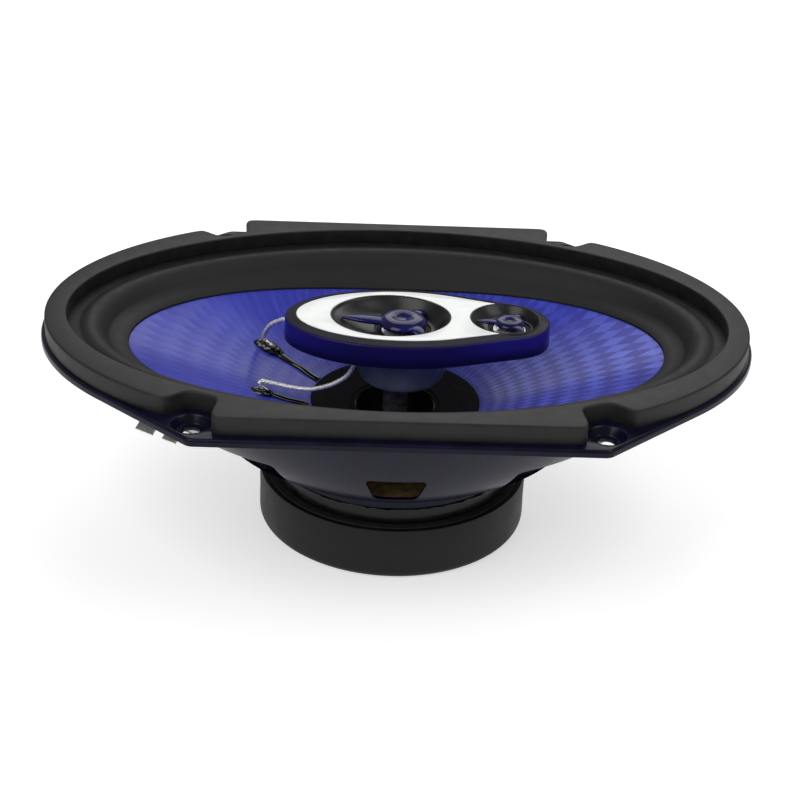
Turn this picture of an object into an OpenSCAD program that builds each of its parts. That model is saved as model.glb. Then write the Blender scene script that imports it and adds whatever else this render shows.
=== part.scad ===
// Three-way coaxial car speaker on an oval 6 by 8 inch pattern.
// +Z is the way the cone faces and X runs along the long axis. Z = 0 is the
// plane that the four screw dimples seat on, and the origin is their centre.

/* [Flange] */
// Length of the stamped flange, tip to tip
flange_len = 225.6; // [188:0.1:272]
// Width of the flange across its straight sides
flange_w = 153; // [127:0.5:184]
// How far the end ovals would bulge past the straight sides
end_bulge = 4.1; // [2:0.1:6]
// Length of each straight side, corner to corner
side_len = 124; // [104:0.5:140]
// Radius of the flange's corners
corner_r = 4; // [2:0.5:8]
// Thickness of the stamped steel
sheet_t = 1; // [0.8:0.1:1.4]
// Height of the flange's top face above the screw seats
flange_h = 3.8; // [3:0.1:5]
// Height of the flange's turned-down edge
skirt_h = 2.3; // [1.5:0.1:3]

/* [Mounting holes] */
// Distance of each screw hole from the end of its straight side
hole_inset_x = 2.5; // [0:0.1:6]
// Distance of each screw hole from the flange's straight side
hole_inset_y = 9.5; // [8.5:0.1:12]
// Radius of a screw hole
hole_r = 2.6; // [2:0.1:3]
// Radius of a screw dimple at the flange's top face
dimple_r = 6.3; // [5.5:0.1:7]
// Radius of the flat floor of a screw dimple
dimple_floor_r = 4.4; // [3.8:0.1:5]

/* [Gasket] */
// Height of the mounting gasket
gasket_h = 5.7; // [4:0.1:8]
// Bare flange left outside the gasket at the ends
end_ledge = 1.3; // [0.8:0.1:2.5]
// Bare flange left outside the gasket along the straight sides
side_ledge = 3; // [1:0.1:4]
// Distance from the flange's tip to the gasket's opening
end_margin = 8.1; // [7:0.1:10]
// Distance from the flange's side to the gasket's opening
side_margin = 9.2; // [8:0.1:11]
// Wall left between a screw notch and the opening
notch_wall = 2.7; // [2.4:0.1:4]

/* [Surround] */
// Width of the surround's outer lip, from the gasket's outer bond to the roll
outer_lip_w = 5.9; // [5:0.1:7]
// How far the outer lip runs in under the gasket
lip_under_gasket = 2; // [1.5:0.1:2.2]
// Width of the half roll
roll_w = 9.1; // [7:0.1:11]
// Rise of the roll above a straight line between its feet
roll_rise = 2.5; // [1.5:0.1:4]
// Width of the inner lip that is glued on the cone
inner_lip_w = 6; // [4:0.1:7]
// Thickness of the butyl sheet
surround_t = 0.7; // [0.5:0.05:0.9]

/* [Cone] */
// Depth from the cone's rim to the dust ring's seat
cone_depth = 21.7; // [18:0.1:27]
// Height of the cone's rim above the screw seats
cone_rim_z = -0.3; // [-2:0.1:0.5]
// Thickness of the cone, measured along Z
cone_t = 0.6; // [0.4:0.05:1]
// Radius at which the dust ring sits on the cone
dust_ring_r = 27.5; // [23:0.1:33]
// Depth of the neck below the dust ring's seat
neck_depth = 8; // [6.7:0.1:9]
// Free travel of the cone each way
stroke = 4; // [2:0.5:4]

/* [Motor] */
// Outer radius of the coil former
former_r = 13; // [12.6:0.1:13.4]
// Wall of the coil former
former_t = 0.2; // [0.1:0.05:0.3]
// Radial thickness of the winding
winding_t = 0.6; // [0.4:0.05:0.7]
// Height of the winding
winding_h = 10; // [8:0.1:10]
// Radial gap between the pole and the former
pole_gap = 0.5; // [0.3:0.05:0.6]
// Radial gap between the winding and the top plate
plate_gap = 0.6; // [0.4:0.05:0.8]
// Radius of the top plate
top_plate_r = 40; // [38.5:0.1:41.5]
// Thickness of the top plate
top_plate_t = 5.6; // [4:0.1:7]
// Radius of the ferrite ring
magnet_r = 42.5; // [42:0.1:50]
// Radius of the ferrite ring's hole
magnet_hole_r = 22; // [18:0.1:25]
// Thickness of the ferrite ring
magnet_t = 10.8; // [9.5:0.1:14]
// Radius of the yoke's back plate
yoke_r = 41; // [39:0.1:42]
// Thickness of the yoke's back plate
yoke_t = 5.5; // [4.5:0.1:7]
// Wall of the rubber boot
boot_t = 1.5; // [1:0.1:2.5]
// Rounding of the boot's lower edge
boot_round = 2.5; // [1:0.1:3]

/* [Basket] */
// Depth of the spider shelf's top face below the cone's neck
shelf_depth = 1.5; // [1.2:0.1:3]
// Radius of the spider shelf at its outer edge
shelf_r = 48; // [46:0.1:50]
// Radius of the step inside the shelf
step_r = 40.5; // [39.5:0.1:42]
// Depth of the step from the shelf to the base
step_depth = 7.1; // [6.5:0.1:9]
// Radius of the basket's central hole
base_hole_r = 16; // [15:0.1:18]
// Height of the windows
window_h = 9.6; // [5:0.1:11]
// Height of the windows' lower edge above the spider shelf
window_sill = 1.9; // [1.5:0.1:4]
// Width of the front and back windows at the top
narrow_window_w = 19; // [12:0.5:24]
// Width of the four larger windows at the top
wide_window_w = 42; // [25:0.5:46]
// Turn of the larger windows from the short axis
wide_window_turn = 57; // [54:1:60]

/* [Spider] */
// Radius of the spider's outer edge
spider_r = 46.5; // [44:0.1:47.5]
// How far the spider's flat lip runs in past the shelf's edge
spider_lip_in = 0.4; // [0.3:0.1:1]
// Number of corrugations
spider_waves = 6; // [4:1:8]
// Height of a corrugation above the mid surface
spider_rise = 1.2; // [0.8:0.1:1.4]
// Thickness of the impregnated cloth
spider_t = 0.4; // [0.3:0.05:0.5]

/* [Pod] */
// Height of the pod's outer wall
pod_wall_h = 7.4; // [7:0.1:9]
// Rise of the trim plate's face above the outer wall
crown_h = 0.8; // [0.6:0.1:1]
// Centre of the pod's broad end
pod_body_x = 1; // [0:0.1:3]
// Half length of the pod's broad end
pod_body_a = 37.4; // [34:0.1:40]
// Half width of the pod's broad end
pod_body_b = 22; // [20:0.1:26]
// Centre of the pod's nose
pod_nose_x = 35.5; // [34.5:0.1:37]
// Radius of the pod's nose
pod_nose_r = 13.2; // [13:0.1:15]
// Wall of the pod housing
pod_t = 1.6; // [1.2:0.1:1.7]
// Thickness of the pod's base cover
cover_t = 1.3; // [1:0.1:1.5]
// Border of the housing that shows round the trim plate
trim_inset = 3.8; // [3:0.1:5]
// Radius of the carrier bowl's rim
bowl_rim_r = 17.2; // [14.5:0.1:18]
// Radius of the carrier bowl's foot
bowl_foot_r = 12.2; // [9:0.1:13]
// Depth of the carrier bowl
bowl_h = 13.2; // [12:0.1:14]
// Radius of the post that carries the pod
post_r = 4; // [3.5:0.1:5]
// Radius of the screw that holds the pod on its post
screw_r = 2; // [1.5:0.1:2.5]

/* [Midrange] */
// Centre of the midrange driver
mid_x = 1.5; // [1:0.1:2]
// Centre of the midrange mouth
mid_mouth_x = -2.4; // [-3:0.1:-1]
// Half length of the midrange mouth
mid_mouth_a = 19.3; // [17:0.1:20]
// Half width of the midrange mouth
mid_mouth_b = 15.5; // [14:0.1:16.5]
// Outer radius of the midrange pot
mid_pot_r = 9.5; // [9.2:0.1:10]
// Travel of the midrange dome each way
mid_stroke = 0.3; // [0.1:0.05:0.4]

/* [Tweeter] */
// Centre of the tweeter
tweeter_x = 35.6; // [35:0.1:36]
// Centre of the tweeter's mouth
tweeter_mouth_x = 34.2; // [33.5:0.1:35]
// Radius of the tweeter's mouth
tweeter_mouth_r = 11.4; // [10.5:0.1:11.6]
// Outer radius of the tweeter's pot
tweeter_pot_r = 7.5; // [7:0.1:8]
// Travel of the tweeter dome each way
tweeter_stroke = 0.2; // [0.1:0.05:0.2]

/* [Hidden] */

$fn = 96;
ring_n = 96;          // points round every oval surface
cut = 0.5;            // how far a cut runs past the face it opens
glue = 0.05;          // glue line between pieces that move apart
contact = 0.02;       // hair gap round a true cylinder inside a faceted hole

// Heights, from the flange down
flange_under = flange_h - sheet_t;
gasket_top = flange_h + gasket_h;
seat_z = cone_rim_z - cone_depth;
neck_low = seat_z - neck_depth;
shelf_z = neck_low - shelf_depth;
base_top = shelf_z - step_depth;
plate_top = base_top - sheet_t;
magnet_top = plate_top - top_plate_t;
yoke_top = magnet_top - magnet_t;
yoke_low = yoke_top - yoke_t;
boot_low = yoke_low - boot_t;

// Ovals, each [half length, half width]
flange_oval = [flange_len / 2, flange_w / 2 + end_bulge];
gasket_oval = flange_oval - [end_ledge, end_ledge];
opening_oval = [flange_len / 2 - end_margin, flange_w / 2 - side_margin];
lip_oval = opening_oval + [lip_under_gasket, lip_under_gasket];
roll_outer = lip_oval - [outer_lip_w, outer_lip_w];
rim_oval = roll_outer - [roll_w, roll_w];
basket_oval = (opening_oval + roll_outer) / 2;
hole_x = side_len / 2 - hole_inset_x;
hole_y = flange_w / 2 - hole_inset_y;

// Coil
coil_mid = plate_top - top_plate_t / 2;
coil_hole_r = former_r + winding_t + plate_gap;
pole_r = former_r - former_t - pole_gap;
former_low = coil_mid - winding_h / 2 - 0.6;
former_top = seat_z - 1.8;

// Pod
pod_top = pod_wall_h + crown_h;
deck_low = pod_top - pod_t;
post_low = yoke_low + 0.5;
foot_r = 6.5;
foot_t = 2;
bowl_floor = 2;
bowl_t = 1.5;
horn_t = 0.8;

// Midrange and tweeter stacks
mid_flange_r = mid_pot_r + 1.1;
mid_ring_z = 2.6;
mid_dome_r = 6.7;
tweeter_flange_r = tweeter_pot_r + 0.9;
tweeter_ring_z = 4.2;
tweeter_dome_r = 5.2;
capacitor_r = 2.3;
capacitor_len = 10;
capacitor_mid_x = 18.6;
capacitor_tweeter_x = 23.4;

// Leads, each from the pod or the terminals to its glue spot on the cone
lead_r = 0.7;
lead_sides = 8;
spot_rear = [-42.3, 19.4];
spot_front = [-43, -9];
rear_route = [[-24, 6, 0], [-26.5, 8, -1.4], [-31, 11.4, -1.4], [-36.5, 14.8, -1.6], [-39.2, 16.5, -3],
    [-41.9, 17.6, -5.2], [-43.6, 19.2, -8.5], [-44, 20.3, -11], [-43.5, 20.1, -11.9]];
front_route = [[-13, -11, 0], [-13.3, -12.8, -1.6], [-14, -14.5, -3.4], [-16.1, -14.2, -7],
    [-21.1, -13.6, -10.5], [-27.4, -12, -13], [-33.9, -9.8, -13.6], [-40.3, -8.4, -13],
    [-43, -8.1, -12.7], [-43.8, -8.6, -13.4]];
coil_route_rear = [[-37.5, 17.8], [-35.1, 16.4], [-31.7, 14.6], [-28.3, 13.2]];
coil_route_front = [[-40, -9], [-36, -8.6], [-32, -8], [-28.6, -7.2]];

// Terminals, placed on the basket's wall
terminal_angle = 225;
terminal_drop = 0.14;
board_size = [1.5, 26, 11];
tab_len = 6.5;
tab_t = 0.8;
terminal_hole = [18, 5];

// --- shared geometry -------------------------------------------------------

function total(v) = v * [for (i = v) 1];

// One level ring of an oval, [half length, half width], about (cx, 0)
function ring(oval, z, cx = 0) =
    [for (i = [0:ring_n - 1]) [cx + oval.x * cos(360 * i / ring_n), oval.y * sin(360 * i / ring_n), z]];

// The same ring as flat points
function flat_ring(oval, cx = 0) = [for (p = ring(oval, 0, cx)) [p.x, p.y]];

function round_oval(r) = [r, r];

// Twice the signed area of the section that the rings make in the XZ plane
function section_area(rings) = total([for (i = [0:len(rings) - 1])
    let (p = rings[i][0], q = rings[(i + 1) % len(rings)][0]) p.x * q.z - q.x * p.z]);

// A closed solid of rings, each with the same number of points, joined in order and back to the first
module loft(rings) {
    turned = section_area(rings) > 0 ? [for (i = [len(rings) - 1:-1:0]) rings[i]] : rings;
    m = len(turned);
    n = len(turned[0]);
    polyhedron([for (r = turned) each r],
        [for (i = [0:m - 1], j = [0:n - 1])
            let (a = i * n + j, b = i * n + (j + 1) % n, up = (i + 1) % m * n, c = up + (j + 1) % n, d = up + j)
            each [[a, b, c], [a, c, d]]]);
}

function unit(v) = v / norm(v);

// Direction of the path at point i
function heading(path, i) = unit(path[min(i + 1, len(path) - 1)] - path[max(i - 1, 0)]);

// A round tube swept along a path of points
module tube(path, r) {
    side = [0.31, 0.95, 0.02];
    rings = [for (i = [0:len(path) - 1])
        let (t = heading(path, i), u = unit(cross(t, side)), v = cross(t, u))
        [for (k = [0:lead_sides - 1]) let (a = 360 * k / lead_sides) path[i] + r * (u * cos(a) + v * sin(a))]];
    n = lead_sides;
    last = (len(path) - 1) * n;
    polyhedron([for (q = rings) each q],
        concat([[for (k = [n - 1:-1:0]) k]], [[for (k = [0:n - 1]) last + k]],
            [for (i = [0:len(path) - 2], k = [0:n - 1])
                let (a = i * n + k, b = i * n + (k + 1) % n) each [[a, b, b + n], [a, b + n, a + n]]]));
}

// A ring turned from a list of [radius, height] points
module turned(points) rotate_extrude() polygon(points);

module tube_ring(inner, outer, low, top)
    turned([[inner, low], [outer, low], [outer, top], [inner, top]]);

// Each of the four screw places
module at_holes()
    for (sx = [-1, 1], sy = [-1, 1])
        translate([sx * hole_x, sy * hole_y, 0]) children();

// --- basket ----------------------------------------------------------------

module flange_outline() {
    hull() {
        intersection() {
            polygon(flat_ring(flange_oval));
            square([flange_len, flange_w], center = true);
        }
        for (sx = [-1, 1], sy = [-1, 1])
            translate([sx * (side_len / 2 - corner_r), sy * (flange_w / 2 - corner_r)])
                circle(corner_r, $fn = 32);
    }
}

// The basket's wall runs from the flange's opening (f = 0) to the shelf (f = 1)
wall_curve = 1.4;
wall_steps = 7;
wall_shift = [0.7, -0.8] * sheet_t;
function wall_oval(f) = basket_oval + (round_oval(shelf_r - 1) - basket_oval) * f;
function wall_z(f) = flange_under + (shelf_z - sheet_t / 2 - flange_under) * (1 - pow(1 - f, wall_curve));
function wall_ring(f, out) = ring(wall_oval(f) + [out, out] * wall_shift.x, wall_z(f) + out * wall_shift.y);

module basket_wall()
    loft(concat([for (i = [0:wall_steps]) wall_ring(i / wall_steps, 0)],
        [for (i = [wall_steps:-1:0]) wall_ring(i / wall_steps, 1)]));

module window(turn, width) {
    low_w = width - 6;
    rotate([0, 0, turn]) translate([step_r - 8, 0, shelf_z + window_sill]) rotate([90, 0, 90])
        linear_extrude(flange_len)
            polygon([[-low_w / 2, 0], [low_w / 2, 0], [width / 2, window_h], [-width / 2, window_h]]);
}

module windows() {
    for (turn = [90, 270])
        window(turn, narrow_window_w);
    for (side = [90, 270], way = [-1, 1])
        window(side + way * wide_window_turn, wide_window_w);
}

// The terminals' place on the wall's outer face, and the way that straight out of it points
function wall_spot(f) = let (o = wall_oval(f) + [wall_shift.x, wall_shift.x])
    [o.x * cos(terminal_angle), o.y * sin(terminal_angle), wall_z(f) + wall_shift.y];
wall_along = [-wall_oval(terminal_drop).x * sin(terminal_angle), wall_oval(terminal_drop).y * cos(terminal_angle), 0];
wall_out = unit(cross(wall_spot(terminal_drop + 0.02) - wall_spot(terminal_drop), wall_along));
wall_side = unit([-wall_out.y, wall_out.x, 0]);
wall_up = cross(wall_out, wall_side);

// A point given as [out, sideways, up] from the terminals' place
function wall_point(p) = wall_spot(terminal_drop) + p.x * wall_out + p.y * wall_side + p.z * wall_up;

// Places its children on the wall's outer face, with X pointing straight out of it
module on_wall() translate(wall_spot(terminal_drop))
    rotate([0, -asin(wall_out.z), atan2(wall_out.y, wall_out.x)]) children();

module terminal_pad()
    on_wall() translate([-3, -board_size.y / 2 - 1, -board_size.z / 2 - 0.5])
        cube([4, board_size.y + 2, board_size.z + 1]);

module terminal_places() {
    for (y = [-1, 1])
        translate([0, y * (board_size.y / 2 - 2.5), 0]) rotate([0, 90, 0]) children();
}

rivet_hole_r = 1.6;
rivet_circle_r = 27;
rivet_count = 4;
module at_rivets()
    for (i = [0:rivet_count - 1])
        rotate([0, 0, 45 + 360 * i / rivet_count]) translate([rivet_circle_r, 0, 0]) children();

module basket() color("midnightblue") difference() {
    union() {
        translate([0, 0, flange_under]) linear_extrude(sheet_t) difference() {
            flange_outline();
            polygon(flat_ring(basket_oval));
        }
        translate([0, 0, flange_h - skirt_h]) linear_extrude(skirt_h - sheet_t) difference() {
            flange_outline();
            offset(delta = -sheet_t) flange_outline();
        }
        at_holes() cylinder(h = flange_under + sheet_t / 2, r1 = dimple_floor_r + sheet_t, r2 = dimple_r + sheet_t);
        basket_wall();
        turned([[step_r - sheet_t, base_top - sheet_t], [step_r, base_top - sheet_t], [step_r, shelf_z - sheet_t],
            [shelf_r, shelf_z - sheet_t], [shelf_r, shelf_z], [step_r - sheet_t, shelf_z]]);
        tube_ring(base_hole_r, step_r, base_top - sheet_t, base_top);
        terminal_pad();
    }
    at_holes() {
        translate([0, 0, -cut]) cylinder(h = flange_h, r = hole_r);
        translate([0, 0, sheet_t]) cylinder(h = flange_under + 0.001, r1 = dimple_floor_r, r2 = dimple_r);
    }
    windows();
    at_rivets() translate([0, 0, plate_top - cut]) cylinder(h = sheet_t + 2 * cut, r = rivet_hole_r);
    on_wall() {
        translate([-12, -terminal_hole.x / 2, -terminal_hole.y / 2]) cube([24, terminal_hole.x, terminal_hole.y]);
        terminal_places() translate([0, 0, -6]) cylinder(h = 12, r = rivet_hole_r);
    }
}

module basket_rivets() color("silver") at_rivets() {
    translate([0, 0, magnet_top]) cylinder(h = base_top - magnet_top, r = rivet_hole_r);
    translate([0, 0, base_top]) cylinder(h = 1, r1 = rivet_hole_r + 1, r2 = rivet_hole_r + 0.3);
}

// --- terminals -------------------------------------------------------------

board_x = 1;          // the board lies on the pad's outer face
tab_in = 2.5;         // how far a tab reaches in behind the board
tab_w_positive = 6.3;
tab_w_negative = 4.8;
tab_y_positive = -4.6;
tab_y_negative = 4.9;

module terminal_board() color("saddlebrown") on_wall() difference() {
    translate([board_x, -board_size.y / 2, -board_size.z / 2]) cube(board_size);
    terminal_places() translate([0, 0, board_x - cut]) cylinder(h = board_size.x + 2 * cut, r = rivet_hole_r);
    for (t = [[tab_y_positive, tab_w_positive], [tab_y_negative, tab_w_negative]])
        translate([board_x - cut, t.x - t.y / 2, -tab_t / 2]) cube([board_size.x + 2 * cut, t.y, tab_t]);
}

// A push-on tab through its slot in the board, with a hole for a lead at the inner end
module terminal_tab(y, width, length) color("silver") on_wall() difference() {
    translate([board_x - tab_in, y - width / 2, -tab_t / 2]) cube([tab_in + board_size.x + length, width, tab_t]);
    translate([board_x + board_size.x + length - 3.5, y, -tab_t]) cylinder(h = 2 * tab_t, r = 0.9);
}

module terminal_tab_positive() terminal_tab(tab_y_positive, tab_w_positive, tab_len);

module terminal_tab_negative() terminal_tab(tab_y_negative, tab_w_negative, tab_len);

module terminal_rivets() color("silver") on_wall() terminal_places() {
    translate([0, 0, -2]) cylinder(h = 2 + board_x + board_size.x, r = rivet_hole_r);
    translate([0, 0, board_x + board_size.x]) cylinder(h = 0.8, r = rivet_hole_r + 1);
}

// --- gasket, surround and spider ---------------------------------------------

// The deep bay that leaves room for a screw head, measured from the screw's centre
module notch() polygon([[-6, 20], [-6, 3], [-8, -9], [-2, -16], [6, -16], [1.7, -9.7], [8.5, -3.9], [30, 14.4]]);

module gasket_outline() {
    difference() {
        union() {
            intersection() {
                polygon(flat_ring(gasket_oval));
                square([flange_len, flange_w - 2 * side_ledge], center = true);
            }
            square([2 * (hole_x - 6), flange_w - 2 * side_ledge], center = true);
        }
        difference() {
            for (sx = [0, 1], sy = [0, 1])
                mirror([sx, 0]) mirror([0, sy]) translate([hole_x, hole_y]) notch();
            polygon(flat_ring(opening_oval + [notch_wall, notch_wall]));
        }
    }
}

module mounting_gasket() color("black") difference() {
    translate([0, 0, flange_h]) linear_extrude(gasket_h) difference() {
        gasket_outline();
        polygon(flat_ring(opening_oval));
    }
    translate([0, 0, flange_h - cut]) linear_extrude(surround_t + cut) polygon(flat_ring(lip_oval));
}

// A ring on the cone's top face, as far in from the rim as w on every side
function cone_share(w, a) = w / ((rim_oval.x - dust_ring_r) * pow(cos(a), 2) + (rim_oval.y - dust_ring_r) * pow(sin(a), 2));
function cone_ring(w, dz) = [for (i = [0:ring_n - 1])
    let (a = 360 * i / ring_n, t = cone_share(w, a), o = rim_oval + (round_oval(dust_ring_r) - rim_oval) * t)
    [o.x * cos(a), o.y * sin(a), cone_rim_z - cone_depth * t + dz]];

// The roll's mid surface, from its outer foot (u = 0) to its inner foot (u = 1)
roll_steps = 10;
roll_outer_z = flange_h + surround_t / 2;
roll_inner_z = cone_rim_z + glue + surround_t / 2;
function roll_z(u) = roll_outer_z + (roll_inner_z - roll_outer_z) * u + roll_rise * sin(180 * u);
function roll_ring(u, dz) = ring(roll_outer - [1, 1] * roll_w * u, roll_z(u) + dz);
function roll_half(dz) = [for (i = [0:roll_steps]) roll_ring(i / roll_steps, dz)];

module surround() color("dimgray")
    loft(concat([ring(lip_oval, flange_h + surround_t)], roll_half(surround_t / 2),
        [cone_ring(inner_lip_w, surround_t + glue), cone_ring(inner_lip_w, glue)],
        [for (i = [roll_steps:-1:0]) roll_half(-surround_t / 2)[i]], [ring(lip_oval, flange_h)]));

spider_inner_r = former_r + glue;
spider_steps = 12;
spider_mid = shelf_z + spider_t / 2;
spider_collar_w = 1.5;
function spider_line(dz) = let (a = spider_inner_r + spider_collar_w, b = step_r - sheet_t - spider_lip_in)
    concat([[spider_inner_r, spider_mid + dz]],
        [for (i = [0:spider_waves * spider_steps]) let (u = i / (spider_waves * spider_steps))
            [a + (b - a) * u, spider_mid + dz + spider_rise * sin(360 * spider_waves * u)]],
        [[spider_r, spider_mid + dz]]);

module spider() color("gold")
    turned(concat(spider_line(-spider_t / 2), [for (i = [len(spider_line(0)) - 1:-1:0]) spider_line(spider_t / 2)[i]]));

// --- motor -----------------------------------------------------------------

module top_plate() color("dimgray") difference() {
    tube_ring(coil_hole_r, top_plate_r, magnet_top, plate_top);
    at_rivets() translate([0, 0, magnet_top - cut]) cylinder(h = top_plate_t + 2 * cut, r = rivet_hole_r);
}

module magnet_ring() color("darkslategray") tube_ring(magnet_hole_r, magnet_r, yoke_top, magnet_top);

bore_r = post_r + contact;
module pole_yoke() color("silver")
    turned([[foot_r + contact, yoke_low], [yoke_r, yoke_low], [yoke_r, yoke_top], [pole_r, yoke_top],
        [pole_r, plate_top], [bore_r, plate_top], [bore_r, post_low + foot_t], [foot_r + contact, post_low + foot_t]]);

module magnet_boot() color("black") {
    r = magnet_r + boot_t;
    arc = [for (i = [0:8]) [r - boot_round + boot_round * sin(90 * i / 8), boot_low + boot_round - boot_round * cos(90 * i / 8)]];
    turned(concat([[0, boot_low]], arc, [[r, magnet_top], [magnet_r, magnet_top], [magnet_r, yoke_low], [0, yoke_low]]));
}

// --- pod -------------------------------------------------------------------

module pod_post() color("silver") difference() {
    union() {
        translate([0, 0, post_low]) cylinder(h = foot_t, r = foot_r);
        translate([0, 0, post_low]) cylinder(h = -bowl_h - post_low, r = post_r);
    }
    translate([0, 0, post_low - cut]) cylinder(h = -bowl_h - post_low + 2 * cut, r = screw_r);
}

screw_grip = 16;
module pod_screw() color("silver") {
    translate([0, 0, -bowl_h - screw_grip]) cylinder(h = screw_grip + bowl_floor, r = screw_r);
    translate([0, 0, -bowl_h + bowl_floor]) cylinder(h = 1.8, r = screw_r + 1.6);
}

module pod_bowl() color("steelblue") difference() {
    translate([mid_x, 0, 0]) turned([[0, -bowl_h], [bowl_foot_r, -bowl_h], [bowl_rim_r, 0], [bowl_rim_r - bowl_t, 0],
        [bowl_foot_r - bowl_t, -bowl_h + bowl_floor], [0, -bowl_h + bowl_floor]]);
    translate([0, 0, -bowl_h - cut]) cylinder(h = bowl_floor + 2 * cut, r = screw_r);
}

module pod_outline() hull() {
    polygon(flat_ring([pod_body_a, pod_body_b], pod_body_x));
    translate([pod_nose_x, 0]) circle(pod_nose_r);
}

module mouths(low, top) {
    translate([0, 0, low]) linear_extrude(top - low) {
        polygon(flat_ring([mid_mouth_a, mid_mouth_b], mid_mouth_x));
        polygon(flat_ring(round_oval(tweeter_mouth_r), tweeter_mouth_x));
    }
}

module pod_base_cover() color("navy") difference() {
    linear_extrude(cover_t) offset(delta = -pod_t) pod_outline();
    translate([mid_x, 0, -cut]) cylinder(h = cover_t + 2 * cut, r = mid_pot_r);
}

module pod_housing() color("navy") difference() {
    union() {
        linear_extrude(pod_wall_h) pod_outline();
        linear_extrude(pod_top) offset(delta = -trim_inset / 2) pod_outline();
    }
    translate([0, 0, -cut]) linear_extrude(deck_low + cut) offset(delta = -pod_t) pod_outline();
    translate([0, 0, pod_wall_h]) linear_extrude(crown_h + cut) offset(delta = -trim_inset) pod_outline();
    mouths(deck_low - cut, pod_top + cut);
}

module pod_trim_plate() color("whitesmoke") difference() {
    translate([0, 0, pod_wall_h]) linear_extrude(crown_h) offset(delta = -trim_inset) pod_outline();
    mouths(deck_low, pod_top + cut);
}

// A funnel from a wide mouth down to a round throat that may sit off its centre
module horn(mouth, mouth_x, throat_r, foot_radius, foot_x, low) {
    slope_z = low + horn_t;
    loft([ring(mouth, pod_top, mouth_x), ring(mouth, deck_low, mouth_x), ring(round_oval(foot_radius), low, foot_x),
        ring(round_oval(throat_r), low, foot_x), ring(round_oval(throat_r), slope_z, foot_x),
        ring(mouth - [1, 1] * horn_t, pod_top - 0.4, mouth_x), ring(mouth - [1, 1] * horn_t * 0.6, pod_top, mouth_x)]);
}

// A flattened ring with a web across its middle
module plug_ring(radius, width, height, z) {
    turned([for (i = [0:31]) [radius + width * cos(360 * i / 32), z + height * sin(360 * i / 32)]]);
    translate([0, 0, z - height / 2]) cylinder(h = height * 0.6, r = radius - width + 0.6);
}

module spoke(turn, start, reach, width, low, top)
    rotate([0, 0, turn]) translate([0, 0, low]) linear_extrude(top - low)
        polygon([[start, -width / 2], [reach, -width / 3], [reach, width / 3], [start, width / 2]]);

// A thin dome on a flat rim
module dome(radius, rim_w, low, rise, thick) {
    steps = 12;
    curve = function (dz) [for (i = [0:steps]) [radius * i / steps, low + dz + rise * (1 - pow(i / steps, 2))]];
    top = curve(thick);
    turned(concat(curve(0), [[radius + rim_w, low], [radius + rim_w, low + thick]], [for (i = [steps:-1:0]) top[i]]));
}

// A flat lip and a small half roll inside it
module small_roll(inner, bond, outer, low, thick, rise) {
    steps = 8;
    line = function (dz) [for (i = [0:steps]) [inner + (bond - inner) * i / steps, low + dz + rise * sin(180 * i / steps)]];
    top = line(thick);
    turned(concat(line(0), [[outer, low], [outer, low + thick]], [for (i = [steps:-1:0]) top[i]]));
}

// A steel cup with an outward flange
module motor_pot(radius, wall, floor_t, low, top, flange_r, flange_t)
    turned([[0, low], [radius, low], [radius, top - flange_t], [flange_r, top - flange_t], [flange_r, top],
        [radius - wall, top], [radius - wall, low + floor_t], [0, low + floor_t]]);

// --- midrange --------------------------------------------------------------

mid_film = 0.3;
mid_low = -7.6;
mid_floor = 1.5;
mid_magnet_h = 4.8;
mid_plate_h = 2;
mid_magnet_z = mid_low + mid_floor;
mid_plug_z = 6.3;
mid_bond_r = 8.3;

module mid_horn() color("black")
    horn([mid_mouth_a, mid_mouth_b], mid_mouth_x, 9.2, mid_flange_r, mid_x, mid_ring_z + mid_film);

module mid_phase_plug() color("navy") translate([mid_x, 0, 0]) {
    plug_ring(4.8, 3, 1.6, mid_plug_z);
    for (turn = [60, 180, 300])
        spoke(turn, 7, 11.5, 3, 5.4, mid_plug_z + 0.6);
}

module mid_pot() color("silver") translate([mid_x, 0, 0])
    motor_pot(mid_pot_r, 1.5, mid_floor, mid_low, mid_ring_z, mid_flange_r, 0.6);

module mid_magnet() color("darkslategray")
    translate([mid_x, 0, mid_magnet_z]) cylinder(h = mid_magnet_h, r = 5.4);

module mid_pole_plate() color("silver")
    translate([mid_x, 0, mid_magnet_z + mid_magnet_h]) cylinder(h = mid_plate_h, r = 5.6);

module mid_suspension() color("dimgray") translate([mid_x, 0, 0])
    small_roll(mid_dome_r + 0.1, mid_bond_r, mid_flange_r, mid_ring_z, mid_film, 0.5);

module mid_diaphragm() color("silver") translate([mid_x, 0, 0]) dome(mid_dome_r - 0.6, 0.6, mid_ring_z, 1.8, mid_film);

module mid_voice_coil() color("chocolate") translate([mid_x, 0, 0])
    tube_ring(6.1, 6.6, mid_ring_z - 4.2, mid_ring_z);

// --- tweeter ---------------------------------------------------------------

tweeter_film = 0.2;
tweeter_floor = 0.8;
tweeter_magnet_h = 1.2;
tweeter_plug_z = 6.9;
tweeter_magnet_z = cover_t + tweeter_floor;

module tweeter_horn() color("black")
    horn(round_oval(tweeter_mouth_r), tweeter_mouth_x, 7, tweeter_flange_r, tweeter_x, tweeter_ring_z + tweeter_film);

module tweeter_phase_plug() color("navy") translate([tweeter_x, 0, 0]) {
    plug_ring(3, 1.9, 1.1, tweeter_plug_z);
    for (turn = [60, 180, 300])
        spoke(turn, 4.4, 8.2, 2, 6.2, tweeter_plug_z + 0.4);
}

module tweeter_pot() color("silver") translate([tweeter_x, 0, 0])
    motor_pot(tweeter_pot_r, 1.3, tweeter_floor, cover_t, tweeter_ring_z, tweeter_flange_r, 0.6);

module tweeter_magnet() color("darkslategray")
    translate([tweeter_x, 0, tweeter_magnet_z]) cylinder(h = tweeter_magnet_h, r = 4.2);

module tweeter_pole_plate() color("silver")
    translate([tweeter_x, 0, tweeter_magnet_z + tweeter_magnet_h]) cylinder(h = 0.7, r = 4.4);

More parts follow.
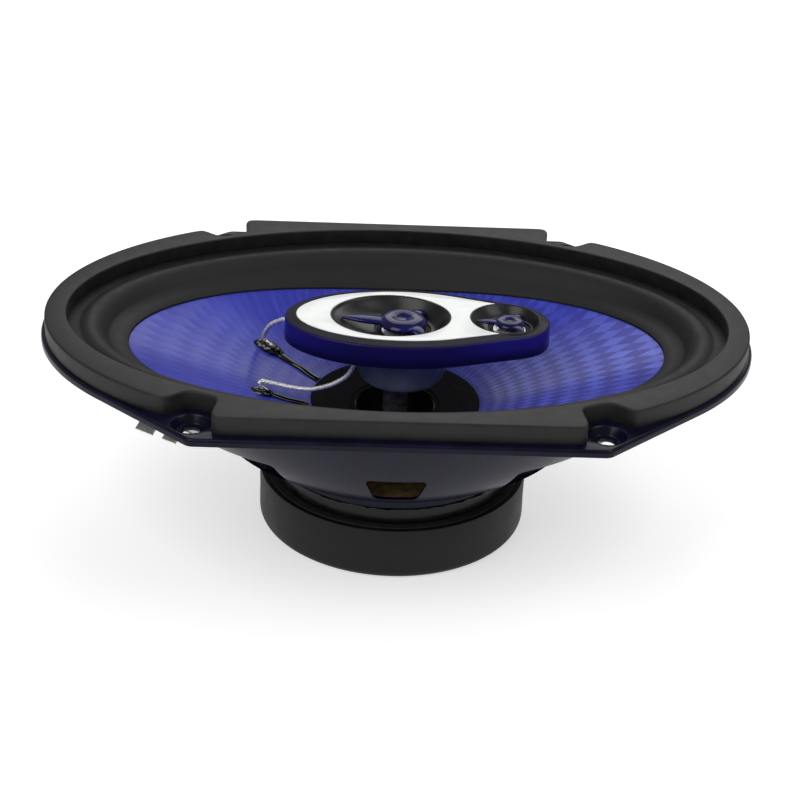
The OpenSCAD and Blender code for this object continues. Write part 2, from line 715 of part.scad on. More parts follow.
module tweeter_suspension() color("dimgray") translate([tweeter_x, 0, 0])
    small_roll(tweeter_dome_r + 0.15, 6.4, tweeter_flange_r, tweeter_ring_z, tweeter_film, 0.3);

module tweeter_diaphragm() color("silver") translate([tweeter_x, 0, 0])
    dome(tweeter_dome_r - 0.5, 0.5, tweeter_ring_z + 0.1, 0.9, tweeter_film);

module tweeter_voice_coil() color("chocolate") translate([tweeter_x, 0, 0])
    tube_ring(4.7, 5.1, tweeter_ring_z - 1.2, tweeter_ring_z + 0.1);

// --- crossover and leads -----------------------------------------------------

module capacitor(x) translate([x, capacitor_len / 2, cover_t + capacitor_r]) rotate([90, 0, 0])
    cylinder(h = capacitor_len, r = capacitor_r);

module crossover_capacitor_mid() color("darkgreen") capacitor(capacitor_mid_x);

module crossover_capacitor_tweeter() color("darkgreen") capacitor(capacitor_tweeter_x);

module pod_lead_rear() color("silver") tube(rear_route, lead_r);

module pod_lead_front() color("silver") tube(front_route, lead_r);

// --- moving cone -----------------------------------------------------------

// Share of the way in from the rim to the dust ring at a place on the cone
function share_at(p, low = 0, high = 1, n = 24) =
    let (f = (low + high) / 2, o = rim_oval + (round_oval(dust_ring_r) - rim_oval) * f)
    n == 0 ? f : pow(p.x / o.x, 2) + pow(p.y / o.y, 2) > 1
        ? share_at(p, low, f, n - 1) : share_at(p, f, high, n - 1);
function on_cone(p, dz = 0) = [p.x, p.y, cone_rim_z - cone_depth * share_at(p) + dz];

// From a tab's inner end down behind the wall, across under the cone and up to a place behind it
under = cone_t + lead_r + 0.3;
function basket_route(tab_y, spot) = let (low = wall_point([-5.2, tab_y, -6]), top = on_cone(spot, -under))
    [wall_point([board_x - tab_in, tab_y, 0]), wall_point([board_x - tab_in - 1.2, tab_y, 0]),
    wall_point([-4.3, tab_y, -1.4]), low, [(3 * low.x + top.x) / 4, (3 * low.y + top.y) / 4, (low.z + shelf_z) / 2],
    [(low.x + top.x) / 2, (low.y + top.y) / 2, shelf_z + 9.5], [(low.x + 4 * top.x) / 5, (low.y + 4 * top.y) / 5, top.z - 5.5],
    top - [0, 0, 3], top];

module basket_lead_rear() color("silver") tube(basket_route(tab_y_negative, spot_rear), lead_r);

module basket_lead_front() color("silver") tube(basket_route(tab_y_positive, spot_front), lead_r);

neck_r = (former_r + contact) / cos(180 / ring_n);
collar_h = 1.2;
module cone() color("royalblue")
    loft([cone_ring(0, 0), ring(round_oval(dust_ring_r), seat_z), ring(round_oval(neck_r + 1), neck_low + collar_h),
        ring(round_oval(neck_r), neck_low + collar_h), ring(round_oval(neck_r), neck_low),
        ring(round_oval(neck_r + 1), neck_low), ring(round_oval(dust_ring_r), seat_z - cone_t), cone_ring(0, -cone_t)]);

dust_t = 0.5;
ridge_r = 14.6;
ridge_w = 0.4;
function dust_z(r) = seat_z - 1.8 * (dust_ring_r - r) / (dust_ring_r - former_r);
module dust_ring() color("black")
    turned([[former_r, dust_z(former_r)], [dust_ring_r, seat_z], [dust_ring_r, seat_z + dust_t],
        [ridge_r + ridge_w, dust_z(ridge_r) + dust_t], [ridge_r, dust_z(ridge_r) + dust_t + 0.3],
        [ridge_r - ridge_w, dust_z(ridge_r) + dust_t], [former_r, dust_z(former_r) + dust_t]]);

module coil_former() color("peru") tube_ring(former_r - former_t, former_r, former_low, former_top);

module voice_coil() color("chocolate")
    tube_ring(former_r, former_r + winding_t, coil_mid - winding_h / 2, coil_mid + winding_h / 2);

// A dab of glue over the end of a lead, pulled out along Y or X
module glue_spot(p, reach) hull() {
    translate(on_cone(p - reach, 0.2)) sphere(1.2, $fn = 20);
    translate(on_cone(p, 0.4)) sphere(1.5, $fn = 20);
    translate(on_cone(p + reach, 0.2)) sphere(1.2, $fn = 20);
}

module lead_glue_spots() color("black") {
    glue_spot(spot_rear, [3.2, 0.6]);
    glue_spot(spot_front, [1.6, 0.4]);
}

module coil_leads() color("black")
    for (route = [coil_route_rear, coil_route_front])
        tube([for (p = route) on_cone(p, 0.3)], 0.9);

basket();
basket_rivets();
mounting_gasket();
surround();
spider();
top_plate();
magnet_ring();
pole_yoke();
magnet_boot();
terminal_board();
terminal_tab_positive();
terminal_tab_negative();
terminal_rivets();
pod_post();
pod_screw();
pod_bowl();
pod_base_cover();
pod_housing();
pod_trim_plate();
mid_horn();
mid_phase_plug();
mid_pot();
mid_magnet();
mid_pole_plate();
mid_suspension();
mid_diaphragm();
mid_voice_coil();
tweeter_horn();
tweeter_phase_plug();
tweeter_pot();
tweeter_magnet();
tweeter_pole_plate();
tweeter_suspension();
tweeter_diaphragm();
tweeter_voice_coil();
crossover_capacitor_mid();
crossover_capacitor_tweeter();
pod_lead_rear();
pod_lead_front();
basket_lead_rear();
basket_lead_front();
cone();
dust_ring();
coil_former();
voice_coil();
lead_glue_spots();
coil_leads();
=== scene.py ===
import math

import bmesh
import bpy
from mathutils import Matrix, Vector, geometry, noise
from mathutils.bvhtree import BVHTree
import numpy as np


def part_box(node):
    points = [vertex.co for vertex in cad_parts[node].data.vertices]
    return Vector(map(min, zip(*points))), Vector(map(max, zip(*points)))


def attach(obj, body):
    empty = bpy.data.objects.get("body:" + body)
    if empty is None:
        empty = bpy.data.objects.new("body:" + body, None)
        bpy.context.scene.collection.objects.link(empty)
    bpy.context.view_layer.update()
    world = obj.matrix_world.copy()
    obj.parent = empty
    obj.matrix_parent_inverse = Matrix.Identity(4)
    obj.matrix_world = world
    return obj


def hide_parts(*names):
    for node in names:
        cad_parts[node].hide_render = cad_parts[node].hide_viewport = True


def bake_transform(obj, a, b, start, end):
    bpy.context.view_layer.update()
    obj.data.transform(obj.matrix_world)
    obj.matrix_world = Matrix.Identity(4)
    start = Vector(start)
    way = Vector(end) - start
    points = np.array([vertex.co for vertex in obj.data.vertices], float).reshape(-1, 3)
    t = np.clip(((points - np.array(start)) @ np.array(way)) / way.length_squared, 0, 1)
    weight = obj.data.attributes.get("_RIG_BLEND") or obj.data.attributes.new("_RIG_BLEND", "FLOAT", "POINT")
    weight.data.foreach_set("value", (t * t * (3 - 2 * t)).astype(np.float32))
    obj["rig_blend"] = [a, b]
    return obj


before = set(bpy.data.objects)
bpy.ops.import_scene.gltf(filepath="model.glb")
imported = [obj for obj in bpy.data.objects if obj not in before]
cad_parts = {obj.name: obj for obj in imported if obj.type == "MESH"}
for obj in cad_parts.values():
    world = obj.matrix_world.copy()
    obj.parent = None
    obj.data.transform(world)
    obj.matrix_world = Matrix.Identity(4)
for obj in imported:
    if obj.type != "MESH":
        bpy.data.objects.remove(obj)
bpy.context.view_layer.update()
scene = bpy.context.scene
scene.view_settings.view_transform = "Standard"
millimetre = 0.001
fullTurn = 2 * math.pi


def nodeBox(name):  # lowest and highest corner of a node, in millimetres
    low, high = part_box(name)
    return low / millimetre, high / millimetre


# camera, light and floor

view = {
    "place": (-12.241, -498.404, 241.996),
    "turn": -1.5908,
    "rise": 27.93,
    "roll": 2.3859,
    "lens": 77.7515,
    "sensor": 36,
}


def makeCamera(values):
    turn, rise, roll = (math.radians(values[key]) for key in ("turn", "rise", "roll"))
    back = Vector((math.sin(turn) * math.cos(rise), -math.cos(turn) * math.cos(rise), math.sin(rise)))
    right = (-back).cross(Vector((0, 0, 1))).normalized()
    up = right.cross(-back)
    side = right * math.cos(roll) + up * math.sin(roll)
    top = up * math.cos(roll) - right * math.sin(roll)
    lens = bpy.data.cameras.new("camera")
    lens.lens, lens.sensor_width = values["lens"], values["sensor"]
    lens.clip_start = 0.01
    camera = bpy.data.objects.new("camera", lens)
    scene.collection.objects.link(camera)
    place = Vector(values["place"]) * millimetre
    camera.matrix_world = Matrix.Translation(place) @ Matrix((side, top, back)).transposed().to_4x4()
    scene.camera = camera


studio = {
    "world": 0.3,
    "floor": 0.75,
    "glow": 0.55,
    "lamps": [  # place and size in metres, then watts
        ((-0.55, -0.55, 0.85), 0.7, 5.0),
        ((0.65, -0.25, 0.8), 0.6, 3.0),
        ((0.1, 0.75, 0.7), 0.8, 3.5),
    ],
}


def makeLamp(place, size, power):
    lamp = bpy.data.lights.new("softbox", "AREA")
    lamp.size, lamp.energy = size, power
    holder = bpy.data.objects.new("softbox", lamp)
    scene.collection.objects.link(holder)
    holder.location = place
    holder.rotation_euler = (-Vector(place)).to_track_quat("-Z", "Y").to_euler()


makeCamera(view)
for lampValues in studio["lamps"]:
    makeLamp(*lampValues)
world = bpy.data.worlds.new("studio")
world.use_nodes = True
world.node_tree.nodes["Background"].inputs[0].default_value = (1, 1, 1, 1)
world.node_tree.nodes["Background"].inputs[1].default_value = studio["world"]
scene.world = world
print("studio ready")


# finishes


def tone(red, green, blue):  # a screen colour as shader light
    parts = [part / 255 for part in (red, green, blue)]
    linear = [part / 12.92 if part < 0.0404 else ((part + 0.055) / 1.055) ** 2.4 for part in parts]
    return (*linear, 1)


def grey(value):
    return (value, value, value, 1)


class Wire:  # one output of a node, so that sums are written as sums
    def __init__(self, finish, socket):
        self.finish, self.socket = finish, socket

    def maths(self, operation, *values):
        return self.finish.add("ShaderNodeMath", {"operation": operation}, dict(enumerate(values)))

    def __add__(self, other):
        return self.maths("ADD", self, other)

    def __sub__(self, other):
        return self.maths("SUBTRACT", self, other)

    def __rsub__(self, other):
        return self.maths("SUBTRACT", other, self)

    def __mul__(self, other):
        return self.maths("MULTIPLY", self, other)

    def __pow__(self, other):
        return self.maths("POWER", self, other)


class Finish:
    def __init__(self, name, **fixed):
        self.material = bpy.data.materials.new(name)
        self.material.use_nodes = True
        self.tree = self.material.node_tree
        self.shader = self.tree.nodes["Principled BSDF"]
        for key, value in fixed.items():
            self.shader.inputs[key.replace("_", " ")].default_value = value

    def add(self, kind, settings=None, inputs=None, output=0):
        node = self.tree.nodes.new(kind)
        for key, value in (settings or {}).items():
            if key == "stops":
                elements = node.color_ramp.elements
                while len(elements) < len(value):
                    elements.new(0.5)
                for element, (position, colour) in zip(elements, value):
                    element.position, element.color = position, colour
            else:
                setattr(node, key, value)
        for key, value in (inputs or {}).items():
            if isinstance(value, Wire):
                self.tree.links.new(value.socket, node.inputs[key])
            else:
                node.inputs[key].default_value = value
        return Wire(self, node.outputs[output])

    def feed(self, name, wire):
        self.tree.links.new(wire.socket, self.shader.inputs[name])
        return self

    def place(self):  # object coordinates in millimetres
        spot = self.add("ShaderNodeTexCoord", output="Object")
        return self.add("ShaderNodeVectorMath", {"operation": "SCALE"}, {0: spot, "Scale": 1 / millimetre})

    def split(self, vector):
        node = self.tree.nodes.new("ShaderNodeSeparateXYZ")
        self.tree.links.new(vector.socket, node.inputs[0])
        return [Wire(self, out) for out in node.outputs]

    def grain(self, scale, detail=3.0, rough=0.55, at=None):
        return self.add(
            "ShaderNodeTexNoise",
            {},
            {"Vector": at or self.place(), "Scale": scale, "Detail": detail, "Roughness": rough},
        )

    def ramp(self, factor, *stops):
        return self.add("ShaderNodeValToRGB", {"stops": stops}, {0: factor})

    def blend(self, factor, first, second):
        return self.add("ShaderNodeMix", {"data_type": "RGBA"}, {0: factor, 6: first, 7: second}, output=2)

    def step(self, value, low, high):  # 0 below low, 1 above high
        return self.add(
            "ShaderNodeMapRange", {"interpolation_type": "SMOOTHSTEP"}, {0: value, 1: low, 2: high}
        )

    def bump(self, height, strength, distance=0.1):
        return self.feed(
            "Normal",
            self.add(
                "ShaderNodeBump",
                {},
                {"Height": height, "Strength": strength, "Distance": distance * millimetre},
            ),
        )


def mottled(
    name, dark, light, rough, grainScale=1.5, bumpScale=6.0, bumpStrength=0.2, bumpDepth=0.05, **fixed
):
    # two close colours, uneven gloss and a fine skin, as most moulded and painted faces have
    finish = Finish(name, **fixed)
    patches = finish.grain(grainScale)
    finish.feed("Base Color", finish.ramp(patches, (0.35, dark), (0.65, light)))
    finish.feed("Roughness", patches * (rough[1] - rough[0]) * 1.6 + (1.3 * rough[0] - 0.3 * rough[1]))
    return finish.bump(finish.grain(bumpScale, 5), bumpStrength, bumpDepth)


def makeConeFinish():
    count, reach = 108, 0.13  # diamonds round the cone, and how much the radius grows over one
    finish = Finish("coneSheet", Coat_Weight=0.2, Coat_Roughness=0.18, Specular_IOR_Level=0.25)
    place = finish.place()
    x, y, z = finish.split(place)
    radius = (x * x + y * y) ** 0.5
    turn = x.maths("ARCTAN2", y, x) * (count / 2)
    climb = x.maths("LOGARITHM", radius, math.e) * (math.pi / reach)
    wobble = finish.grain(0.35, 2, at=place) * 0.5
    leaning = x.maths("SINE", turn + climb + wobble)
    returning = x.maths("SINE", turn - climb + wobble)
    sharpen = lambda wave: finish.add("ShaderNodeMapRange", {}, {0: wave, 1: -0.22, 2: 0.22, 3: -1, 4: 1})
    first, second = sharpen(leaning), sharpen(returning)
    checks = first * second
    # painted reflection: the weave is painted to show most towards one end and fine streaks at the other, as
    # light reflects off the sheet differently on each side
    paintedReflectionSide = finish.step(x + y * 0.6, -32.0, 30.0)
    fine = x.maths("SINE", turn * 2 + climb * 2 + wobble * 3)
    patch = finish.step(finish.grain(0.05, 2, at=place), 0.38, 0.62)
    # painted reflection: towards the front the diamonds are painted with more contrast and the sheet a little
    # darker
    front = finish.step(y * -1 + z * 0.3, -30.0, 12.0)
    strength = patch * 0.05 + 0.045 + front * 0.075
    weave = checks * (paintedReflectionSide * strength + 0.008)
    weave = weave + fine * (0.03 - paintedReflectionSide * 0.03) + second * paintedReflectionSide * 0.02
    lines = finish.add("ShaderNodeCombineXYZ", {}, {0: (turn + climb) * 0.22, 1: radius * 0.02, 2: 0.0})
    streaks = finish.grain(1.0, 3, at=lines)
    shade = weave + (streaks - 0.5) * 0.26 + 0.42 + patch * 0.05 - front * 0.03
    blue = finish.ramp(
        shade, (0.18, tone(30, 30, 122)), (0.42, tone(44, 50, 164)), (0.6, tone(60, 72, 188)),
        (0.86, tone(112, 120, 222)),
    )
    finish.feed("Base Color", blue)
    finish.feed("Roughness", 0.42 - checks * 0.06)
    return finish.bump(checks * 0.5 + finish.grain(2.5, 2, at=place) * 0.3, 0.15, 0.06)


def makePodFinish():
    finish = Finish("podPlastic", Coat_Weight=0.05, Coat_Roughness=0.12, Specular_IOR_Level=0.12)
    place = finish.place()
    x, y, z = finish.split(place)
    top = finish.step(z, 6.9, 7.5)  # painted shade and light: the crown is painted darker for the dark parts behind it, the wall lighter for light let through it
    # painted light: the wall is painted lighter towards the ends
    ends = finish.step(x.maths("ABSOLUTE", x), 14.0, 37.0)
    # painted shade: the wall is painted darker towards its foot
    foot = finish.step(z, 0.4, 4.6)
    cloud = finish.grain(0.09, 2, at=place)
    wall = finish.blend(ends * 0.8 + cloud * 0.2, tone(25, 21, 80), tone(36, 30, 126))
    wall = finish.blend(foot, tone(19, 16, 60), wall)
    finish.feed("Base Color", finish.blend(top, wall, tone(15, 14, 30)))
    finish.feed("Roughness", top * 0.16 + 0.2 + cloud * 0.08)
    return finish.bump(finish.grain(1.2, 3, at=place), 0.08, 0.04)


def makeSpiderFinish():
    finish = Finish("spiderCloth", Specular_IOR_Level=0.2, Sheen_Weight=0.3)
    place = finish.place()
    x, y, z = finish.split(place)
    threads = x.maths("SINE", x * 9.0) * x.maths("SINE", y * 9.0)
    cloud = finish.grain(0.4, 3, at=place)
    gold = finish.ramp(cloud + threads * 0.12, (0.3, tone(150, 108, 14)), (0.7, tone(205, 168, 52)))
    finish.feed("Base Color", gold)
    finish.feed("Roughness", cloud * 0.2 + 0.65)
    return finish.bump(threads, 0.5, 0.1)


def makeCordFinish():
    finish = Finish("tinselBraid", Metallic=0.35, Specular_IOR_Level=0.7)
    cloud = finish.grain(2.2, 3)
    shades = ((0.34, tone(148, 148, 140)), (0.5, tone(232, 232, 226)), (0.66, tone(250, 250, 246)))
    finish.feed("Base Color", finish.ramp(cloud, *shades))
    finish.feed("Roughness", cloud * 0.25 + 0.22)
    return finish.bump(finish.grain(9.0, 2), 0.25, 0.05)


def makeWoundFinish(name, dark, light, pitch, **fixed):  # fine turns of wire or paper round Z
    finish = Finish(name, **fixed)
    place = finish.place()
    x, y, z = finish.split(place)
    turns = x.maths("SINE", z * (fullTurn / pitch))
    cloud = finish.grain(0.6, 3, at=place)
    finish.feed("Base Color", finish.ramp(cloud + turns * 0.1, (0.3, dark), (0.7, light)))
    finish.feed("Roughness", cloud * 0.2 + 0.3)
    return finish.bump(turns, 0.6, 0.08)


finishes = {
    "basketPaint": mottled(
        "basketPaint", tone(10, 10, 28), tone(15, 15, 38), (0.22, 0.34), 0.12, 1.1, 0.12, 0.05,
        Coat_Weight=0.07, Coat_Roughness=0.06, Specular_IOR_Level=0.12,
    ),
    "gasketPlastic": mottled(
        "gasketPlastic", tone(24, 25, 24), tone(32, 33, 31), (0.45, 0.6), 0.25, 7.0, 0.3, 0.03,
        Specular_IOR_Level=0.3,
    ),
    "surroundButyl": mottled(
        "surroundButyl", tone(17, 17, 17), tone(24, 24, 24), (0.5, 0.66), 0.3, 5.0, 0.25, 0.03,
        Specular_IOR_Level=0.3,
    ),
    "spiderCloth": makeSpiderFinish(),
    "coneSheet": makeConeFinish(),
    "dustPaper": mottled(
        "dustPaper", tone(3, 3, 4), tone(7, 7, 8), (0.7, 0.9), 0.8, 9.0, 0.5, 0.06, Specular_IOR_Level=0.1
    ),
    "plateSteel": mottled(
        "plateSteel", tone(7, 7, 9), tone(13, 13, 16), (0.2, 0.4), 0.15, 1.4, 0.25, 0.1, Coat_Weight=0.15,
        Coat_Roughness=0.1, Specular_IOR_Level=0.2,
    ),
    "zincSteel": mottled(
        "zincSteel", tone(140, 142, 140), tone(176, 177, 172), (0.25, 0.42), 0.5, 4.0, 0.15, 0.03,
        Metallic=0.9,
    ),
    "ferrite": mottled("ferrite", tone(38, 38, 40), tone(56, 56, 58), (0.55, 0.75), 1.0, 5.0, 0.4, 0.08),
    "bootRubber": mottled(
        "bootRubber", tone(15, 16, 15), tone(22, 23, 22), (0.42, 0.6), 0.12, 3.0, 0.2, 0.05,
        Specular_IOR_Level=0.25,
    ),
    "tinnedMetal": mottled(
        "tinnedMetal", tone(206, 206, 200), tone(232, 231, 226), (0.2, 0.34), 0.5, 5.0, 0.12, 0.03,
        Metallic=0.6,
    ),
    "boardPaper": mottled("boardPaper", tone(66, 40, 20), tone(92, 58, 30), (0.45, 0.6), 0.9, 6.0, 0.3, 0.04),
    "podPlastic": makePodFinish(),
    "bowlPlastic": mottled(
        "bowlPlastic", tone(104, 112, 118), tone(132, 140, 146), (0.3, 0.42), 0.08, 2.0, 0.1, 0.04,
        Coat_Weight=0.35, Coat_Roughness=0.2,
    ),
    "trimWhite": mottled(
        "trimWhite", tone(240, 243, 241), tone(248, 250, 248), (0.3, 0.42), 0.2, 5.0, 0.08, 0.02,
        Coat_Weight=0.25, Coat_Roughness=0.2,
    ),
    "hornBlack": mottled(
        "hornBlack", tone(13, 10, 14), tone(23, 19, 24), (0.28, 0.42), 0.2, 2.0, 0.1, 0.03, Coat_Weight=0.1,
        Coat_Roughness=0.15, Specular_IOR_Level=0.3,
    ),
    "plugBlue": mottled(
        "plugBlue", tone(9, 7, 58), tone(15, 13, 88), (0.1, 0.2), 0.15, 1.5, 0.06, 0.03, Coat_Weight=0.22,
        Coat_Roughness=0.04, Specular_IOR_Level=0.2,
    ),
    "domeFilm": mottled(
        "domeFilm", tone(186, 186, 196), tone(222, 222, 230), (0.22, 0.34), 0.6, 4.0, 0.1, 0.03,
        Metallic=0.6,
    ),
    "neodymium": mottled(
        "neodymium", tone(150, 150, 152), tone(182, 182, 184), (0.18, 0.3), 0.8, 5.0, 0.1, 0.02,
        Metallic=0.95,
    ),
    "coilCopper": makeWoundFinish("coilCopper", tone(120, 58, 24), tone(196, 112, 60), 0.45, Metallic=0.8),
    "formerKraft": makeWoundFinish("formerKraft", tone(22, 18, 15), tone(36, 29, 23), 2.4),
    "capacitorFilm": mottled(
        "capacitorFilm", tone(18, 62, 40), tone(28, 84, 54), (0.2, 0.32), 0.5, 3.0, 0.1, 0.04,
        Coat_Weight=0.4,
    ),
    "tinselBraid": makeCordFinish(),
    "blackGlue": mottled(
        "blackGlue", tone(4, 4, 5), tone(9, 9, 10), (0.06, 0.16), 0.3, 0.8, 0.08, 0.05, Coat_Weight=0.4,
        Coat_Roughness=0.03, Specular_IOR_Level=0.35,
    ),
    "floorPaper": mottled(
        "floorPaper", grey(studio["floor"]), grey(studio["floor"] * 0.99), (0.8, 0.9), 0.004, 0.5, 0.02, 0.05,
        Specular_IOR_Level=0.1,
    ),
}
print("finishes ready")


# ways of making pieces, all in millimetres

roundCount = 360  # points round the large ovals


def oval(halfLength, halfWidth, z, x=0.0, y=0.0):
    return lambda turn: (x + halfLength * math.cos(turn), y + halfWidth * math.sin(turn), z)


def circle(radius, z, x=0.0, y=0.0):
    return oval(radius, radius, z, x, y)


def addRing(bm, shape, count=roundCount):  # a loop of edges, bent to the shape
    made = bmesh.ops.create_circle(bm, segments=count, radius=1)["verts"]
    for vert in made:
        vert.co = shape(math.atan2(vert.co.y, vert.co.x))
    return list(dict.fromkeys(edge for vert in made for edge in vert.link_edges))


def addLoft(bm, shapes, closed=False, count=roundCount):  # a skin through rings, in order
    ring = bmesh.ops.create_circle(bm, segments=count, radius=1)["verts"]
    rings, loops = [ring], [list(dict.fromkeys(edge for vert in ring for edge in vert.link_edges))]
    for i in range(len(shapes) - (0 if closed else 1)):
        made = bmesh.ops.extrude_edge_only(bm, edges=loops[-1])["geom"]
        rings.append([item for item in made if isinstance(item, bmesh.types.BMVert)])
        fresh = set(rings[-1])
        loops.append(
            [item for item in made if isinstance(item, bmesh.types.BMEdge) and fresh.issuperset(item.verts)]
        )
    for ring, shape in zip(rings, shapes + shapes[:1]):
        for vert in ring:
            vert.co = shape(math.atan2(vert.co.y, vert.co.x))
    return loops


def addTurned(bm, points, steps=128, x=0.0):  # a closed profile of (radius, z) spun round Z
    verts = [bm.verts.new((radius, 0, z)) for radius, z in points]
    edges = [bm.edges.new(pair) for pair in zip(verts, verts[1:] + verts[:1])]
    old = set(bm.verts) - set(verts)
    bmesh.ops.spin(
        bm, geom=verts + edges, cent=(0, 0, 0), axis=(0, 0, 1), angle=fullTurn, steps=steps, use_merge=True
    )
    made = [vert for vert in bm.verts if vert not in old]
    bmesh.ops.remove_doubles(bm, verts=made, dist=0.0005)
    made = [vert for vert in bm.verts if vert not in old]
    bmesh.ops.translate(bm, verts=made, vec=(x, 0, 0))


def turned(degrees):
    return Matrix.Rotation(math.radians(degrees), 3, "Z")


def throughPoints(points, steps=6):  # a smooth line through points of any size
    points = [Vector(point) for point in points]
    padded = [2 * points[0] - points[1]] + points + [2 * points[-1] - points[-2]]
    line = []
    for before, here, there, after in zip(padded, padded[1:], padded[2:], padded[3:]):
        for i in range(steps):
            t = i / steps
            bend = (2 * before - 5 * here + 4 * there - after) * t**2
            twist = (3 * here - before - 3 * there + after) * t**3
            line.append(0.5 * (2 * here + (there - before) * t + bend + twist))
    return line + [points[-1]]


def addOutline(bm, points, z):  # one flat face, looking up
    face = bm.faces.new([bm.verts.new((point[0], point[1], z)) for point in points])
    face.normal_update()
    if face.normal.z < 0:
        face.normal_flip()
    return face


def raiseFace(bm, face, steps):  # each step is (inset, rise)
    for inset, rise in steps:
        bmesh.ops.inset_region(
            bm, faces=[face], thickness=inset, depth=rise, use_even_offset=True, use_boundary=True
        )
    return face


def roundSteps(radius, count=4):  # a quarter round, from a wall to a flat top
    turns = [math.pi / 2 * i / count for i in range(count + 1)]
    return [
        (radius * (math.cos(a) - math.cos(b)), radius * (math.sin(b) - math.sin(a)))
        for a, b in zip(turns, turns[1:])
    ]


def openFace(bm, face):  # takes a face away and gives its edges
    edges = list(face.edges)
    bmesh.ops.delete(bm, geom=[face], context="FACES_ONLY")
    return edges


def openEdges(bm, z):
    return [
        edge
        for edge in bm.edges
        if edge.is_boundary and all(abs(vert.co.z - z) < 0.001 for vert in edge.verts)
    ]


def fillBetween(bm, loops):
    bmesh.ops.triangle_fill(
        bm, use_beauty=True, use_dissolve=False, edges=[edge for loop in loops for edge in loop]
    )


def hullOutline(points):
    return [points[i] for i in geometry.convex_hull_2d([Vector(point) for point in points])]


def evenOutline(points, spacing):  # the same closed line with points at even distances
    line = []
    for here, there in zip(points, points[1:] + points[:1]):
        here, there = Vector(here), Vector(there)
        pieces = max(1, round((there - here).length / spacing))
        line += [here.lerp(there, i / pieces) for i in range(pieces)]
    return line


def tidyMesh(bm):
    bmesh.ops.remove_doubles(bm, verts=bm.verts, dist=0.0008)
    bmesh.ops.recalc_face_normals(bm, faces=bm.faces)


def cutAway(bm, cutter):  # takes one closed shape out of another
    pair = []
    for shape in (bm, cutter):
        tidyMesh(shape)
        mesh = bpy.data.meshes.new("work")
        shape.to_mesh(mesh)
        shape.free()
        holder = bpy.data.objects.new("work", mesh)
        scene.collection.objects.link(holder)
        pair.append(holder)
    modifier = pair[0].modifiers.new("cut", "BOOLEAN")
    modifier.operation, modifier.solver, modifier.object = "DIFFERENCE", "MANIFOLD", pair[1]
    done = bmesh.new()
    done.from_object(pair[0], bpy.context.evaluated_depsgraph_get())
    for holder in pair:
        bpy.data.objects.remove(holder)
    return done


def bevelEdges(bm, edges, width, segments):
    bmesh.ops.bevel(
        bm, geom=edges, offset=width, offset_type="OFFSET", segments=segments,
        profile=0.5, affect="EDGES", clamp_overlap=True, material=-1,
    )


def softenEdges(bm, width, wanted, segments=2, sharpest=50):
    shared = [edge for edge in bm.edges if len(edge.link_faces) == 2]
    sharp = [edge for edge in shared if edge.calc_face_angle() > math.radians(sharpest)]
    bevelEdges(
        bm, [edge for edge in sharp if wanted((edge.verts[0].co + edge.verts[1].co) / 2)], width, segments
    )


def finishPiece(name, bm, finish, nodes, body="chassis", crease=35):
    tidyMesh(bm)
    bmesh.ops.scale(bm, vec=(millimetre,) * 3, verts=bm.verts)
    mesh = bpy.data.meshes.new(name)
    bm.to_mesh(mesh)
    bm.free()
    mesh.shade_smooth()
    mesh.set_sharp_from_angle(angle=math.radians(crease))
    mesh.materials.append(finishes[finish].material)
    piece = bpy.data.objects.new(name, mesh)
    scene.collection.objects.link(piece)
    if body:
        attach(piece, body)
    if nodes:
        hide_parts(*nodes)
    return piece


def turnedPiece(name, points, finish, nodes, body="chassis", x=0.0, steps=128, crease=35):
    bm = bmesh.new()
    addTurned(bm, points, steps, x)
    return finishPiece(name, bm, finish, nodes, body, crease)


# the share of the second body's motion at a point, in millimetres
def rideBetween(piece, first, second, weight):
    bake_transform(piece, first, second, start=(0, 0, 0), end=(0, 0, -0.01))
    shares = piece.data.attributes["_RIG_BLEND"].data
    for vert in piece.data.vertices:
        t = min(1, max(0, weight(vert.co / millimetre)))
        shares[vert.index].value = t * t * (3 - 2 * t)


# basket

basketHigh = nodeBox("basket")[1]
gasketLow, gasketHigh = nodeBox("mounting_gasket")
surroundHigh = nodeBox("surround")[1]
coneHigh = nodeBox("cone")[1]
spiderLow, spiderHigh = nodeBox("spider")
plateLow, plateHigh = nodeBox("top_plate")
bootLow, bootHigh = nodeBox("magnet_boot")

basketShape = {
    "sheet": 1.0,
    "endBulge": 4.1,
    "straightSide": 124,
    "corner": 4,
    "skirt": 2.3,
    "wallCurve": 1.4,
    "wallSteps": 18,
    "shelf": 48,
    "step": 40.5,
    "stepDepth": 7.1,
    "hole": 16,
    "screwPlace": (59.5, 67.0),
    "screwHole": 2.6,
    "windowSill": 1.9,
    "windowCorner": 1.8,
    "windowSlant": 3,
    "windowFrom": 43,
    "windowReach": 50,
    "windowHeight": 9.6,
    "windows": [(90, 19), (270, 19), (33, 42), (147, 42), (213, 42), (327, 42)],
}
openingHalf = Vector((surroundHigh.x - 2, surroundHigh.y - 2))  # the gasket's opening
lipHalf = Vector((surroundHigh.x, surroundHigh.y))
rollHalf = lipHalf - Vector((5.9, 5.9))
rimHalf = Vector((coneHigh.x, coneHigh.y))
wallHalf = (openingHalf + rollHalf) / 2
flangeTop = gasketLow.z
shelfTop = plateHigh.z + basketShape["sheet"] + basketShape["stepDepth"]


def wallRing(share, out, drop):
    shape = basketShape
    end = Vector((shape["shelf"] - 1,) * 2)
    half = wallHalf.lerp(end, share) + Vector((out, out))
    top = flangeTop - shape["sheet"]
    return oval(half.x, half.y, top - (top - shelfTop) * (1 - (1 - share) ** shape["wallCurve"]) - drop)


def mouthRing(out, drop):  # where the flange turns down into the wall
    return oval(wallHalf.x + out, wallHalf.y + out, flangeTop - drop)


